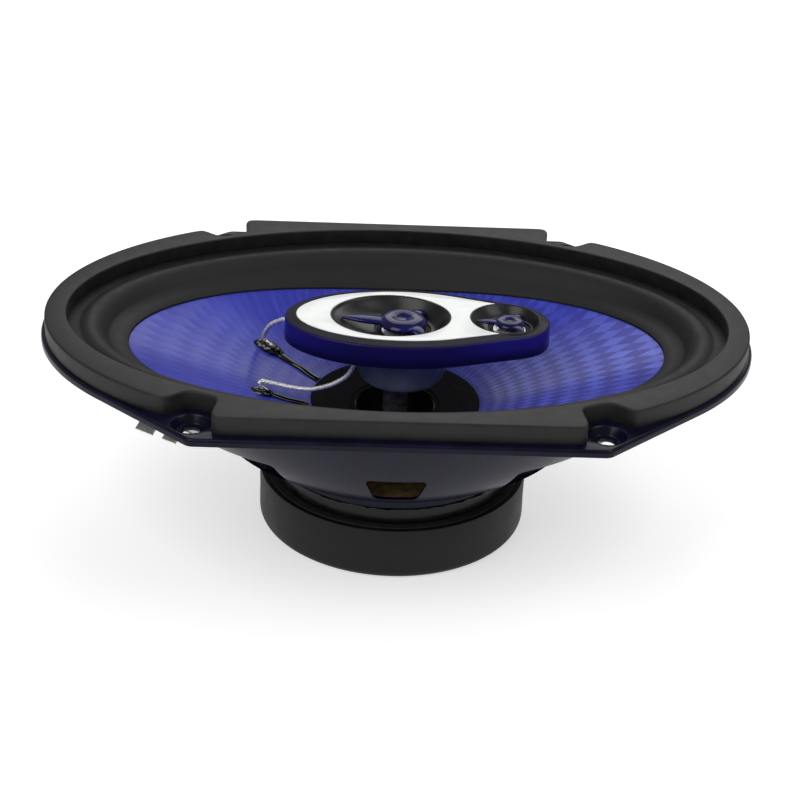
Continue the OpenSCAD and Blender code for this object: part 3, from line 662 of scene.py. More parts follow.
def flangeOutline():
    half, shape = basketHigh, basketShape
    ends = [oval(half.x, half.y + shape["endBulge"], 0)(fullTurn * i / 720) for i in range(720)]
    points = [(x, max(-half.y, min(half.y, y))) for x, y, z in ends]
    for sx in (-1, 1):
        for sy in (-1, 1):
            middle = (sx * (shape["straightSide"] / 2 - shape["corner"]), sy * (half.y - shape["corner"]))
            points += [circle(shape["corner"], 0, *middle)(fullTurn * i / 48)[:2] for i in range(48)]
    return hullOutline(points)


def makeBasket():
    shape, sheet = basketShape, basketShape["sheet"]
    bm = bmesh.new()
    outline = flangeOutline()
    skirtLow = flangeTop - shape["skirt"]
    upper = raiseFace(
        bm, addOutline(bm, outline, skirtLow), [(0, shape["skirt"] - sheet)] + roundSteps(sheet)
    )
    under = raiseFace(bm, addOutline(bm, outline, skirtLow), [(sheet, 0), (0, shape["skirt"] - sheet)])
    upperLoops, underLoops = [openFace(bm, upper)], [openFace(bm, under)]
    screw = Vector(shape["screwPlace"])
    reach = min((Vector(point) - screw).length for point in evenOutline(outline, 0.5)) - sheet - 0.06
    hole = shape["screwHole"]
    dimple = [(reach, flangeTop), (reach - 0.25, flangeTop - 0.1), (reach - 0.55, flangeTop - 0.4)]
    dimple += [(4.7, 1.4), (4.45, 1.1), (4.1, 1.0), (hole + 0.2, 1.0), (hole, 0.85)]
    dimple += [(hole, 0.1), (hole + 0.15, 0), (4.6, 0), (5.0, 0.1), (5.25, 0.5)]
    dimple += [(reach - 0.4, 2.45), (reach - 0.2, 2.7), (reach, flangeTop - sheet)]
    for sx in (-1, 1):
        for sy in (-1, 1):
            x, y = sx * shape["screwPlace"][0], sy * shape["screwPlace"][1]
            loops = addLoft(bm, [circle(radius, z, x, y) for radius, z in dimple], count=64)
            upperLoops.append(loops[0])
            underLoops.append(loops[-1])
    shares = [i / shape["wallSteps"] for i in range(shape["wallSteps"] + 1)]
    base, step = shelfTop - shape["stepDepth"], shape["step"]
    lower = base - sheet
    rings = [mouthRing(out, drop) for out, drop in ((1.1, 0), (0.45, 0.12), (0.12, 0.5))]
    rings += [wallRing(share, 0, 0) for share in shares]
    rings += [circle(step - inset, shelfTop - drop) for inset, drop in ((0.2, 0), (0.8, 0.25), (sheet, 0.9))]
    rings += [circle(step - sheet - inset, base + up) for inset, up in ((0, 0.6), (0.2, 0.15), (0.7, 0))]
    rings += [circle(shape["hole"] + 0.2, base), circle(shape["hole"], base - 0.2)]
    rings += [circle(shape["hole"], lower + 0.2), circle(shape["hole"] + 0.2, lower)]
    rings += [circle(step - inset, lower + up) for inset, up in ((0.9, 0), (0.25, 0.25), (0, 0.9))]
    rings += [circle(step + out, shelfTop - sheet - drop) for out, drop in ((0, 0.7), (0.2, 0.2), (0.8, 0))]
    rings += [wallRing(share, 0.7, 0.8 + 0.2 * share) for share in reversed(shares)]
    rings += [mouthRing(out, drop) for out, drop in ((0.9, 1.35), (1.3, 1.08), (2.0, 1))]
    loops = addLoft(bm, rings)
    fillBetween(bm, upperLoops + [loops[0]])
    fillBetween(bm, underLoops + [loops[-1]])
    cutter = bmesh.new()
    for turn, width in shape["windows"]:
        half, low, old = width / 2, shelfTop + shape["windowSill"], set(cutter.verts)
        high, foot = low + shape["windowHeight"], half - shape["windowSlant"]
        corners = [(-foot, low), (foot, low), (half, high), (-half, high)]
        face = cutter.faces.new([cutter.verts.new((shape["windowFrom"], y, z)) for y, z in corners])
        pushed = bmesh.ops.extrude_face_region(cutter, geom=[face])["geom"]
        moved = [item for item in pushed if isinstance(item, bmesh.types.BMVert)]
        bmesh.ops.translate(cutter, verts=moved, vec=(shape["windowReach"], 0, 0))
        reaches = lambda edge: abs(edge.verts[0].co.x - edge.verts[1].co.x) > 10
        sides = [edge for vert in moved for edge in vert.link_edges if reaches(edge)]
        bevelEdges(cutter, sides, shape["windowCorner"], 5)
        prism = [vert for vert in cutter.verts if vert not in old]
        bmesh.ops.rotate(cutter, verts=prism, cent=(0, 0, 0), matrix=turned(turn))
    bm = cutAway(bm, cutter)
    return finishPiece("basket_frame", bm, "basketPaint", ["basket"], crease=30)


makeBasket()
print("basket ready")


# mounting gasket

gasketShape = {
    "endBulge": 5.8,
    "topRound": 0.7,
    "notchWall": 2.7,
    "spacing": 0.8,
    "smoothing": 14,
    "notch": [(30, 14.4), (8.5, -3.9), (1.7, -9.7), (-8, -9), (-6, 3)],  # from the screw's centre
}


def meetOval(start, end, half):  # where a line crosses an oval
    start, end = Vector(start), Vector(end)
    way = end - start
    a = (way.x / half.x) ** 2 + (way.y / half.y) ** 2
    b = 2 * (start.x * way.x / half.x**2 + start.y * way.y / half.y**2)
    c = (start.x / half.x) ** 2 + (start.y / half.y) ** 2 - 1
    root = math.sqrt(b * b - 4 * a * c)
    t = min(((-b - root) / (2 * a), (-b + root) / (2 * a)), key=lambda value: abs(value - 0.5))
    return start + way * t


def arcPoints(half, first, last, count):
    turns = [math.atan2(point.y / half.y, point.x / half.x) for point in (first, last)]
    return [
        Vector((half.x * math.cos(t), half.y * math.sin(t)))
        for t in (turns[0] + (turns[1] - turns[0]) * i / count for i in range(count + 1))
    ]


def gasketOutline():
    shape = gasketShape
    screw = Vector(basketShape["screwPlace"])
    outer = Vector((gasketHigh.x, gasketHigh.y + shape["endBulge"]))
    inner = openingHalf + Vector((shape["notchWall"],) * 2)
    far, bend, low, left, top = (screw + Vector(point) for point in shape["notch"])
    quarter = arcPoints(outer, Vector((outer.x, 0)), meetOval(far, bend, outer), 110)
    quarter += [bend]
    quarter += arcPoints(inner, meetOval(bend, low, inner), meetOval(left, top, inner), 12)
    quarter += [top, Vector((top.x, gasketHigh.y)), Vector((0, gasketHigh.y))]
    half = quarter + [Vector((-point.x, point.y)) for point in reversed(quarter[:-1])]
    return half + [Vector((point.x, -point.y)) for point in reversed(half[1:-1])]


def makeGasket():
    shape = gasketShape
    bm = bmesh.new()
    face = addOutline(bm, evenOutline(gasketOutline(), shape["spacing"]), gasketLow.z)
    for i in range(shape["smoothing"]):
        bmesh.ops.smooth_vert(
            bm, verts=list(face.verts), factor=0.5, use_axis_x=True, use_axis_y=True, use_axis_z=False
        )
    height = gasketHigh.z - gasketLow.z
    top = openFace(bm, raiseFace(bm, face, [(0, height - shape["topRound"])] + roundSteps(shape["topRound"])))
    bottom = openEdges(bm, gasketLow.z)
    rings = [
        (0.75, height), (0.3, height - 0.08), (0.05, height - 0.35), (0, height - 0.75), (0, 0.95),
        (0.1, 0.75), (2.1, 0.72), (2.1, 0),
    ]
    loops = addLoft(bm, [oval(openingHalf.x + out, openingHalf.y + out, gasketLow.z + z) for out, z in rings])
    fillBetween(bm, [top, loops[0]])
    fillBetween(bm, [bottom, loops[-1]])
    return finishPiece("gasket_ring", bm, "gasketPlastic", ["mounting_gasket"], crease=30)


makeGasket()
print("gasket ready")


# surround, cone, dust ring and spider

coneShape = {
    "depth": 21.7,
    "sheet": 0.6,
    "seat": 27.5,
    "neck": 13.03,
    "neckDepth": 8.0,
    "steps": 10,
}
coneRim = coneHigh.z


def coneRing(share, drop=0.0):
    half = rimHalf.lerp(Vector((coneShape["seat"],) * 2), share)
    return oval(half.x, half.y, coneRim - coneShape["depth"] * share - drop)


def coneLine(width, rise):  # as far in from the rim on every side
    def shape(turn):
        spans = rimHalf - Vector((coneShape["seat"],) * 2)
        share = width / (spans.x * math.cos(turn) ** 2 + spans.y * math.sin(turn) ** 2)
        x, y, z = coneRing(share)(turn)
        return (x, y, z + rise)

    return shape


def makeCone():
    shape = coneShape
    seat = coneRim - shape["depth"]
    neck = seat - shape["neckDepth"]
    shares = [i / shape["steps"] for i in range(shape["steps"] + 1)]
    rings = [coneRing(share) for share in shares]
    neckEdge = ((1, 1.2), (0, 1.2), (0, 0), (1, 0))
    rings += [circle(shape["neck"] + out, neck + up) for out, up in neckEdge]
    rings += [coneRing(share, shape["sheet"]) for share in reversed(shares)]
    bm = bmesh.new()
    addLoft(bm, rings, closed=True)
    return finishPiece("cone_sheet", bm, "coneSheet", ["cone"], "cone_assembly")


surroundShape = {"sheet": 0.7, "rollWidth": 9.1, "rollRise": 2.5, "steps": 20}


def makeSurround():
    shape = surroundShape
    thick = shape["sheet"]
    outerFoot = gasketLow.z + thick / 2
    innerFoot = coneRim + 0.05 + thick / 2

    def roll(share, rise):
        half = rollHalf - Vector((shape["rollWidth"] * share,) * 2)
        arch = shape["rollRise"] * math.sin(math.pi * share)
        return oval(half.x, half.y, outerFoot + (innerFoot - outerFoot) * share + arch + rise)

    shares = [i / shape["steps"] for i in range(shape["steps"] + 1)]
    lip = [
        oval(lipHalf.x - inset, lipHalf.y - inset, gasketLow.z + z)
        for inset, z in ((0, 0.02), (0, thick - 0.02), (5.2, thick))
    ]
    upper = [roll(share, thick / 2) for share in shares]
    lower = [roll(share, -thick / 2) for share in reversed(shares)]
    inner = [
        coneLine(width, rise)
        for width, rise in (
            (3.0, thick + 0.05), (5.8, thick + 0.03), (6.0, thick - 0.15), (6.0, 0.05), (3.0, 0.05)
        )
    ]
    bm = bmesh.new()
    addLoft(bm, lip + upper + inner + lower, closed=True)
    piece = finishPiece(
        "surround_roll", bm, "surroundButyl", ["surround"], body=None, crease=40
    )
    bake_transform(piece, "chassis", "cone_assembly", start=(0, 0, 0.0042), end=(0, 0, 0.0002))
    return piece


dustRing = {
    "hole": 13.0,
    "sink": 1.8,
    "ridge": [(0, 0.45), (0.4, 0.5), (1.1, 0.5), (1.35, 0.78), (1.6, 0.85), (1.85, 0.78), (2.1, 0.5)],
    "edge": [(7.5, 0.55), (2.5, 0.6), (0.7, 0.6), (0.2, 0.5), (0, 0.2)],
}


def makeDustRing():
    seat = coneRim - coneShape["depth"]
    hole, outer = dustRing["hole"], coneShape["seat"]
    height = lambda radius: seat - dustRing["sink"] * (outer - radius) / (outer - hole)
    top = [(hole + out, rise) for out, rise in dustRing["ridge"]]
    top += [(outer - inset, rise) for inset, rise in dustRing["edge"]]
    points = [(radius, height(radius) + rise) for radius, rise in top] + [(outer, seat), (hole, height(hole))]
    nodes, slotName = ["dust_ring"], "dust_ring_paper"
    return turnedPiece("dust_ring_felt", points, "dustPaper", nodes, "cone_assembly", steps=192)


spiderShape = {
    "inner": 13.05,
    "collar": 1.5,
    "lip": 0.4,
    "waves": 6,
    "rise": 1.2,
    "sheet": 0.4,
    "waveSteps": 14,
}


def makeSpider():
    shape = spiderShape
    half, middle = shape["sheet"] / 2, (spiderLow.z + spiderHigh.z) / 2
    first = shape["inner"] + shape["collar"]
    last = basketShape["step"] - basketShape["sheet"] - shape["lip"]
    count = shape["waves"] * shape["waveSteps"]
    line = [(shape["inner"], middle)]
    for i in range(count + 1):
        wave = math.sin(fullTurn * shape["waves"] * i / count)
        line.append((first + (last - first) * i / count, middle + shape["rise"] * wave))
    line.append((spiderHigh.x, middle))
    points = [(radius, z + half) for radius, z in line] + [(radius, z - half) for radius, z in reversed(line)]
    bm = bmesh.new()
    addTurned(bm, points, 160)
    piece = finishPiece("spider_cloth", bm, "spiderCloth", ["spider"], body=None, crease=60)
    inwards = lambda spot: (last - math.hypot(spot.x, spot.y)) / (last - first)
    rideBetween(piece, "chassis", "cone_assembly", inwards)
    return piece


bm = bmesh.new()
bm.from_mesh(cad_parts["cone"].data)
bm.transform(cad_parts["cone"].matrix_world)
coneTree = BVHTree.FromBMesh(bm)
bm.free()
makeCone()
makeSurround()
makeDustRing()
makeSpider()


def onCone(x, y, rise=0.0):
    hit = coneTree.ray_cast(Vector((x, y, 10)) * millimetre, Vector((0, 0, -1)))[0]
    return Vector((x, y, hit.z / millimetre + rise))


print("cone and surround ready")


# motor

motorShape = {
    "plateHole": 14.2,
    "magnetHole": 22,
    "bootHole": 42.5,
    "bootRound": 2.5,
    "former": (12.8, 13.0),
    "wire": 0.08,
    "windingRadius": 13.6,
    "windingTurns": 22,
}


def makeTopPlate():
    low, high, hole, outer = plateLow, plateHigh, motorShape["plateHole"], plateHigh.x
    points = [(hole, low.z), (outer - 0.4, low.z), (outer, low.z + 0.4)]
    points += [(outer, high.z - 0.5), (outer - 0.5, high.z), (hole, high.z)]
    turnedPiece("top_plate_disc", points, "plateSteel", ["top_plate"], steps=192)


def makeMagnet():
    low, high = nodeBox("magnet_ring")
    hole, outer = motorShape["magnetHole"], high.x
    points = [(hole, low.z + 0.4), (hole + 0.4, low.z), (outer - 0.5, low.z), (outer, low.z + 0.5)]
    points += [(outer, high.z - 0.5), (outer - 0.5, high.z), (hole + 0.4, high.z), (hole, high.z - 0.4)]
    turnedPiece("ferrite_ring", points, "ferrite", ["magnet_ring"], steps=192)


def makeBoot():
    low, high, soft = bootLow, bootHigh, motorShape["bootRound"]
    outer, inner, floor = high.x, motorShape["bootHole"], nodeBox("pole_yoke")[0].z
    # a moulded groove
    points = [(0, low.z), (30, low.z), (31, low.z + 0.35), (32, low.z + 0.35), (33, low.z)]
    for i in range(9):
        turn = math.pi / 2 * i / 8
        points.append((outer - soft + soft * math.sin(turn), low.z + soft - soft * math.cos(turn)))
    points += [(outer, low.z + 6), (outer - 0.08, (low.z + high.z) / 2), (outer, high.z - 0.5)]
    points += [(outer - 0.15, high.z - 0.12), (outer - 0.5, high.z), (inner + 0.1, high.z)]
    points += [(inner, high.z - 0.2), (inner, floor), (0, floor)]
    turnedPiece("boot_cover", points, "bootRubber", ["magnet_boot"], steps=224)


def makeFormer():
    low, high = nodeBox("coil_former")
    inner, outer = motorShape["former"]
    points = [(inner, low.z), (outer, low.z), (outer, high.z), (inner, high.z)]
    turnedPiece("former_tube", points, "formerKraft", ["coil_former"], "cone_assembly")


def makeWinding():
    low, high = nodeBox("voice_coil")
    count, inner = 2 * motorShape["windingTurns"], motorShape["former"][1]
    wire, radius = motorShape["wire"], motorShape["windingRadius"] - motorShape["wire"]
    points = [(inner, low.z)]
    for i in range(count + 1):
        points.append((radius + wire * math.cos(math.pi * i), low.z + (high.z - low.z) * i / count))
    points.append((inner, high.z))
    body = "cone_assembly"
    turnedPiece("coil_winding", points, "coilCopper", ["voice_coil"], body, steps=96)


def makeGlueBead():  # uneven glue squeezed out where the basket sits on the plate
    bm = bmesh.new()
    turns = [fullTurn * i / 12 for i in range(12)]
    ring = [(39.9 + 0.75 * math.cos(turn), plateHigh.z - 0.1 + 0.45 * math.sin(turn)) for turn in turns]
    addTurned(bm, ring, 256)
    for vert in bm.verts:
        swell = noise.noise(vert.co * 0.25) + 0.5 * noise.noise(vert.co * 0.9)
        vert.co += Vector((vert.co.x, vert.co.y, 0)).normalized() * swell * 0.55
        vert.co.z += 0.3 * noise.noise(vert.co * 0.6 + Vector((7, 0, 0)))
    return finishPiece("glue_bead", bm, "blackGlue", [], crease=80)


makeTopPlate()
makeMagnet()
makeBoot()
makeFormer()
makeWinding()
makeGlueBead()
print("motor ready")


# pod

podShape = {
    "bodyX": 1.0,
    "body": (37.4, 22.0),
    "noseX": 35.5,
    "nose": 13.2,
    "wall": 1.6,
    "border": 3.9,
    "mid": (-2.4, 19.3, 15.5),
    "tweeter": (34.2, 11.4, 11.4),
}
podLow, podHigh = nodeBox("pod_housing")
plateFoot = nodeBox("pod_trim_plate")[0].z


def podOutline(inset=0.0):
    shape = podShape
    points = [oval(*shape["body"], 0, shape["bodyX"])(fullTurn * i / 480)[:2] for i in range(480)]
    points += [circle(shape["nose"], 0, shape["noseX"])(fullTurn * i / 200)[:2] for i in range(200)]
    points = evenOutline([Vector(point) for point in hullOutline(points)], 1.2)
    if not inset:
        return points
    bm = bmesh.new()
    face = raiseFace(bm, addOutline(bm, points, 0), [(inset, 0)])
    points = [vert.co.xy.copy() for vert in face.verts]
    bm.free()
    return points


def mouthCutter():
    cutter = bmesh.new()
    for middle, halfLength, halfWidth in (podShape["mid"], podShape["tweeter"]):
        heights = (podLow.z + 4.5, podHigh.z + 3)
        loops = addLoft(cutter, [oval(halfLength, halfWidth, z, middle) for z in heights], count=240)
        for loop in loops:
            bmesh.ops.holes_fill(cutter, edges=loop)
    return cutter


def makeHousing():
    bm = bmesh.new()
    start, foot, top = podOutline(), podLow.z, podHigh.z
    deck = plateFoot - 0.75
    up = [(0, 0.5), (0.28, 6.75), (0.36, 7.0), (0.52, 7.22), (0.78, 7.36), (1.15, 7.45)]
    up += [(3.55, top - foot - 0.08), (3.8, top - foot - 0.18), (3.88, plateFoot - foot + 0.02)]
    face = addOutline(bm, start, foot + 0.5)
    raiseFace(bm, face, [(there[0] - here[0], there[1] - here[1]) for here, there in zip(up, up[1:])])
    face = addOutline(bm, start, foot + 0.5)
    raiseFace(bm, face, [(0.08, -0.3), (0.3, -0.2), (podShape["wall"] - 0.38, 0), (0, deck - foot)])
    bm = cutAway(bm, mouthCutter())
    return finishPiece("pod_shell", bm, "podPlastic", ["pod_housing"], crease=30)


def onMouthEdge(spot):
    near = False
    for middle, halfLength, halfWidth in (podShape["mid"], podShape["tweeter"]):
        across = ((spot.x - middle) / halfLength) ** 2 + (spot.y / halfWidth) ** 2
        near = near or abs(across - 1) < 0.02
    return near and spot.z > podHigh.z - 0.1


def makeTrimPlate():
    bm = bmesh.new()
    face = addOutline(bm, podOutline(podShape["border"]), plateFoot + 0.03)
    raiseFace(bm, face, [(0, podHigh.z - plateFoot - 0.21)] + roundSteps(0.18, 3))
    bmesh.ops.holes_fill(bm, edges=openEdges(bm, plateFoot + 0.03))
    bm = cutAway(bm, mouthCutter())
    tidyMesh(bm)
    softenEdges(bm, 0.16, onMouthEdge)
    return finishPiece("pod_plate", bm, "trimWhite", ["pod_trim_plate"], crease=30)


# each way's own sizes; an arm is (turn, reach, height, half width)
driverShape = {
    "mid": {
        "throat": 9.2,
        "plugScale": 1.0,
        "plugMiddle": 6.25,
        "arms": [(180, 19.6, 7.05, 2.7), (55, 11.8, 5.4, 2.4), (305, 11.8, 5.4, 2.4)],
        "dome": 6.1,
        "domeSteps": 14,
        "film": 0.3,
        "foot": [(6.4, 0.3), (6.7, 0.3), (6.7, 0)],
        "edge": (6.8, 8.3, 10.6),
        "edgeRise": 0.5,
    },
    "tweeter": {
        "throat": 7.0,
        "plugScale": 0.63,
        "plugMiddle": 6.9,
        "arms": [(180, 10.4, 7.0, 1.7), (60, 8.1, 6.5, 1.5), (300, 8.1, 6.5, 1.5)],
        "dome": 4.7,
        "domeSteps": 12,
        "film": 0.2,
        "foot": [(5.2, 0.2), (5.2, 0)],
        "edge": (5.35, 6.4, 8.4),
        "edgeRise": 0.3,
    },
}


def driverMiddle(way):
    low, high = nodeBox(way + "_pot")
    return (low.x + high.x) / 2


def makeHorn(way):  # a bowl from a wide mouth down to a round throat off its centre
    middle, halfLength, halfWidth = podShape[way]
    throat, x, seat = driverShape[way]["throat"], driverMiddle(way), nodeBox(way + "_horn")[0].z
    top, steps = podHigh.z, 14

    def ring(share, grow, rise=0.0):
        eased = math.sin(math.pi / 2 * share) ** 1.15
        mix = lambda first, second: first + (second - first) * share
        z = top - 0.15 - (top - 0.15 - seat - 0.5) * eased + rise
        return oval(mix(halfLength, throat) + grow, mix(halfWidth, throat) + grow, z, mix(middle, x))

    lip = ((0.04, 0.5), (0.06, 0.2), (0.22, 0.04), (0.5, 0.1), (0.75, 0.42))
    foot = ((0, 0.1), (0.2, 0), (1.2, 0), (1.3, 0.3))
    rings = [oval(halfLength - inset, halfWidth - inset, top - drop, middle) for inset, drop in lip]
    rings += [ring(i / steps, -0.8 * (1 - i / steps), -0.3 * (1 - i / steps)) for i in range(1, steps + 1)]
    rings += [circle(throat + out, seat + up, x) for out, up in foot]
    rings += [ring(i / steps, 0.2, -0.9) for i in range(steps - 1, 0, -1)]
    bm = bmesh.new()
    addLoft(bm, rings, closed=True, count=192)
    return finishPiece(way + "_funnel", bm, "hornBlack", [way + "_horn"], crease=40)


def addLeaf(bm, x, turn, near, far, halfWidth, thick):  # a pointed arm, near and far being (radius, z)
    first = ((near[0] * 2 + far[0]) / 3, (near[1] * 2 + far[1]) / 3 + 0.1)
    second = ((near[0] + far[0] * 2) / 3, (near[1] + far[1] * 2) / 3 + 0.05)
    line = throughPoints([near, first, second, far], 5)
    old = set(bm.verts)
    loops = []
    for i, spot in enumerate(line):
        share = i / (len(line) - 1)
        swell = (math.sin(math.pi * (0.35 + 0.62 * share))) ** 0.9
        high = thick * (0.35 + 0.65 * swell)
        shape = lambda t: (spot[0], halfWidth * swell * math.cos(t), spot[1] + high * math.sin(t))
        loops.append(addRing(bm, shape, 24))
    for here, there in zip(loops, loops[1:]):
        bmesh.ops.bridge_loops(bm, edges=here + there)
    bmesh.ops.holes_fill(bm, edges=loops[0])
    bmesh.ops.holes_fill(bm, edges=loops[-1])
    made = [vert for vert in bm.verts if vert not in old]
    bmesh.ops.rotate(bm, verts=made, cent=(0, 0, 0), matrix=turned(turn))
    bmesh.ops.translate(bm, verts=made, vec=(x, 0, 0))


plugProfile = [
    (0, 0.5), (0.8, 0.55), (1.6, 0.85), (2.4, 1.3), (3.3, 1.62), (4.3, 1.75), (5.8, 1.5), (7.1, 0.75),
    (7.8, -0.1), (7.7, -0.7), (7.0, -1.05), (6.0, -1.15),
]


def makePlug(way):  # a flattened ring with a dimple, on three pointed arms
    shape, x = driverShape[way], driverMiddle(way)
    scale, middle = shape["plugScale"], shape["plugMiddle"]
    line = [(point[0] * scale, middle + point[1] * scale) for point in throughPoints(plugProfile, 5)]
    bm = bmesh.new()
    addTurned(bm, [(max(0, radius), z) for radius, z in line] + [(0, line[-1][1])], 96, x)
    for turn, reach, z, halfWidth in shape["arms"]:
        addLeaf(bm, x, turn, (6.4 * scale, middle - 0.2), (reach, z), halfWidth, 1.1 * scale)
    return finishPiece(way + "_plug", bm, "plugBlue", [way + "_phase_plug"], crease=45)


def makeDome(way):
    shape, x = driverShape[way], driverMiddle(way)
    low, high = nodeBox(way + "_diaphragm")
    film, count = shape["film"], shape["domeSteps"]
    rise = high.z - low.z - film
    points = []
    for i in range(count + 1):
        points.append((shape["dome"] * i / count, low.z + film + rise * (1 - (i / count) ** 2)))
    under = [(radius, z - film) for radius, z in reversed(points)]
    points += [(radius, low.z + up) for radius, up in shape["foot"]] + under
    nodes, body = [way + "_diaphragm"], way + "_dome"
    turnedPiece(way + "_dome_film", points, "domeFilm", nodes, body, x, 96)


def makeDomeEdge(way):
    inner, bond, outer = driverShape[way]["edge"]
    film, rise, x = driverShape[way]["film"], driverShape[way]["edgeRise"], driverMiddle(way)
    low = nodeBox(way + "_suspension")[0].z
    line = [(inner + (bond - inner) * i / 10, low + rise * math.sin(math.pi * i / 10)) for i in range(11)]
    line += [(outer, low)]
    bm = bmesh.new()
    addTurned(bm, [(radius, z + film) for radius, z in line] + line[::-1], 96, x)
    nodes = [way + "_suspension"]
    piece = finishPiece(way + "_edge", bm, "surroundButyl", nodes, body=None)
    inwards = lambda spot: (bond - math.hypot(spot.x - x, spot.y)) / (bond - inner)
    rideBetween(piece, "chassis", way + "_dome", inwards)


# shares of the bowl's own radius and height
bowlShape = {
    "outside": [(0.68, 0), (0.745, 0.03), (0.8, 0.13), (0.88, 0.4), (0.945, 0.68), (0.985, 0.9), (1, 1)],
    "inside": [(0.83, 0.64), (0.71, 0.27)],
    "brim": 1.5,
    "floor": 2,
    "floorWidth": 0.6,
}


def makeBowl():
    shape = bowlShape
    low, high = nodeBox("pod_bowl")
    rim, deep, floorTop = (high.x - low.x) / 2, high.z - low.z, low.z + shape["floor"]
    place = lambda wide, tall: (rim * wide, low.z + deep * tall)
    outside = throughPoints([place(*share) for share in shape["outside"]], 5)
    points = [(0, low.z)] + [tuple(point) for point in outside]
    points += [(rim - shape["brim"], high.z)] + [place(*share) for share in shape["inside"]]
    points += [(rim * shape["floorWidth"], floorTop), (0, floorTop)]
    middle = (low.x + high.x) / 2
    nodes, slotName = ["pod_bowl"], "bowl_blue"
    return turnedPiece("pod_carrier_bowl", points, "bowlPlastic", nodes, x=middle, steps=160)


makeHousing()
makeTrimPlate()
for make in (makeHorn, makePlug, makeDome, makeDomeEdge):
    for way in driverShape:
        make(way)
makeBowl()
print("pod ready")


# tinsel leads, glue and coil leads

leadRoutes = {
    "rear": [
        (-24, 6, 0), (-26.5, 8, -1.4), (-31, 11.4, -1.4), (-36.5, 14.8, -1.6), (-39.2, 16.5, -3),
        (-41.9, 17.6, -5.2), (-43.6, 19.2, -8.5), (-44, 20.3, -11), (-43.5, 20.1, -11.9),
    ],
    "front": [
        (-13, -11, 0), (-13.3, -12.8, -1.6), (-14, -14.5, -3.4), (-16.1, -14.2, -7), (-21.1, -13.6, -10.5),
        (-27.4, -12, -13), (-33.9, -9.8, -13.6), (-40.3, -8.4, -13), (-43, -8.1, -12.7),
        (-43.8, -8.6, -13.4),
    ],
    "basketRear": [
        (-62.9, -46.6, -3.8), (-62.3, -45.8, -3.1), (-61.2, -44, -3.3), (-59.3, -41.2, -6.5),
        (-55, -26, -19), (-50.8, -10.9, -22), (-45.7, 7.3, -21.6), (-42.3, 19.4, -19.1),
        (-42.3, 19.4, -16.1),
    ],
    "basketFront": [
        (-70.8, -41.3, -3.8), (-70.3, -40.5, -3.1), (-69.1, -38.8, -3.3), (-67.2, -35.9, -6.5),
        (-61.2, -29.2, -19), (-55.1, -22.5, -22), (-47.8, -14.4, -23.3), (-43, -9, -20.8), (-43, -9, -17.8),
    ],
    "thickness": 1.6,
    "hiddenThickness": 1.35,
    "turnLength": 4.2,
}
# a spot is its middle, how far it reaches and its height
glueShape = {
    "spots": [((-42.3, 19.4), (4.4, -1.6), 2.1), ((-43.0, -9.0), (2.4, -0.4), 1.7)],
    "lumps": [(-0.7, 0.85), (-0.35, 1.1), (0, 1.25), (0.35, 1.1), (0.7, 0.8)],
    "length": 2.6,
    "width": 2.3,
    "height": 0.75,
}
strandShape = {
    "fans": [(-42.2, 19.2, -20, 5), (-42.6, -9.0, -10, 3)],  # x, y, turn and how many
    "spread": 13,
    "along": (-1.2, 0.2, 1.6, 2.9),
    "lift": (2.3, 2.25, 1.9, 1.1),
    "radius": 0.16,
}
coilLeadRoutes = [
    [(-40.6, 18.6), (-37.5, 17.2), (-33.5, 15.4), (-30, 13.8), (-25.4, 11.7)],
    [(-41, -9), (-36, -8.6), (-32, -8), (-28.2, -7.2)],
]


def addSweep(bm, line, section, count=24):  # a tube along a line; section(turn, distance) gives (across, up)
    loops, distance = [], 0.0
    side = None
    for i, spot in enumerate(line):
        way = (line[min(i + 1, len(line) - 1)] - line[max(i - 1, 0)]).normalized()
        side = (Vector((0, 0, 1)).cross(way) if side is None else side - way * side.dot(way)).normalized()
        up = way.cross(side)
        distance += (spot - line[i - 1]).length if i else 0

        def shape(turn):
            across, high = section(turn, distance)
            return spot + side * across + up * high

        loops.append(addRing(bm, shape, count))
    for here, there in zip(loops, loops[1:]):
        bmesh.ops.bridge_loops(bm, edges=here + there)
    bmesh.ops.holes_fill(bm, edges=loops[0])
    bmesh.ops.holes_fill(bm, edges=loops[-1])


def braidSection(radius, turnLength):
    def section(turn, distance):
        lean = fullTurn * distance / turnLength
        reach = radius * (0.66 + 0.34 * abs(math.cos(1.5 * (turn + lean))))
        return (reach * math.cos(turn), reach * math.sin(turn))

    return section


def evenLine(points, spacing):
    line = throughPoints(points, 12)
    kept = [line[0]]
    for point in line[1:]:
        if (point - kept[-1]).length >= spacing:
            kept.append(point)
    kept[-1] = line[-1]
    return kept


def makeLead(name, points, node, still, moving, thickness):
    bm = bmesh.new()
    radius = thickness / 2
    addSweep(bm, evenLine(points, 0.3), braidSection(radius, leadRoutes["turnLength"]))
    piece = finishPiece(name, bm, "tinselBraid", [node], body=None, crease=50)
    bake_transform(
        piece, "chassis", "cone_assembly", start=Vector(still) * millimetre, end=Vector(moving) * millimetre
    )
    return piece


def makeGlue():
    shape = glueShape
    bm = bmesh.new()
    for (x, y), reach, height in shape["spots"]:
        reach = Vector(reach)
        for share, size in shape["lumps"]:
            centre = onCone(x + reach.x * share, y + reach.y * share)
            made = bmesh.ops.create_icosphere(bm, subdivisions=4, radius=1)["verts"]
            spread = (shape["length"] * size, shape["width"] * size, height * size * shape["height"])
            bmesh.ops.scale(bm, vec=spread, verts=made)
            for vert in made:
                vert.co *= 1 + 0.14 * noise.noise(vert.co * 0.45 + centre)
            bmesh.ops.translate(bm, vec=centre + Vector((0, 0, 0.1)), verts=made)
    nodes, body = ["lead_glue_spots"], "cone_assembly"
    piece = finishPiece("lead_glue", bm, "blackGlue", nodes, body, crease=180)
    modifier = piece.modifiers.new("gather", "REMESH")
    modifier.mode, modifier.voxel_size, modifier.use_smooth_shade = "VOXEL", 0.00022, True
    return piece


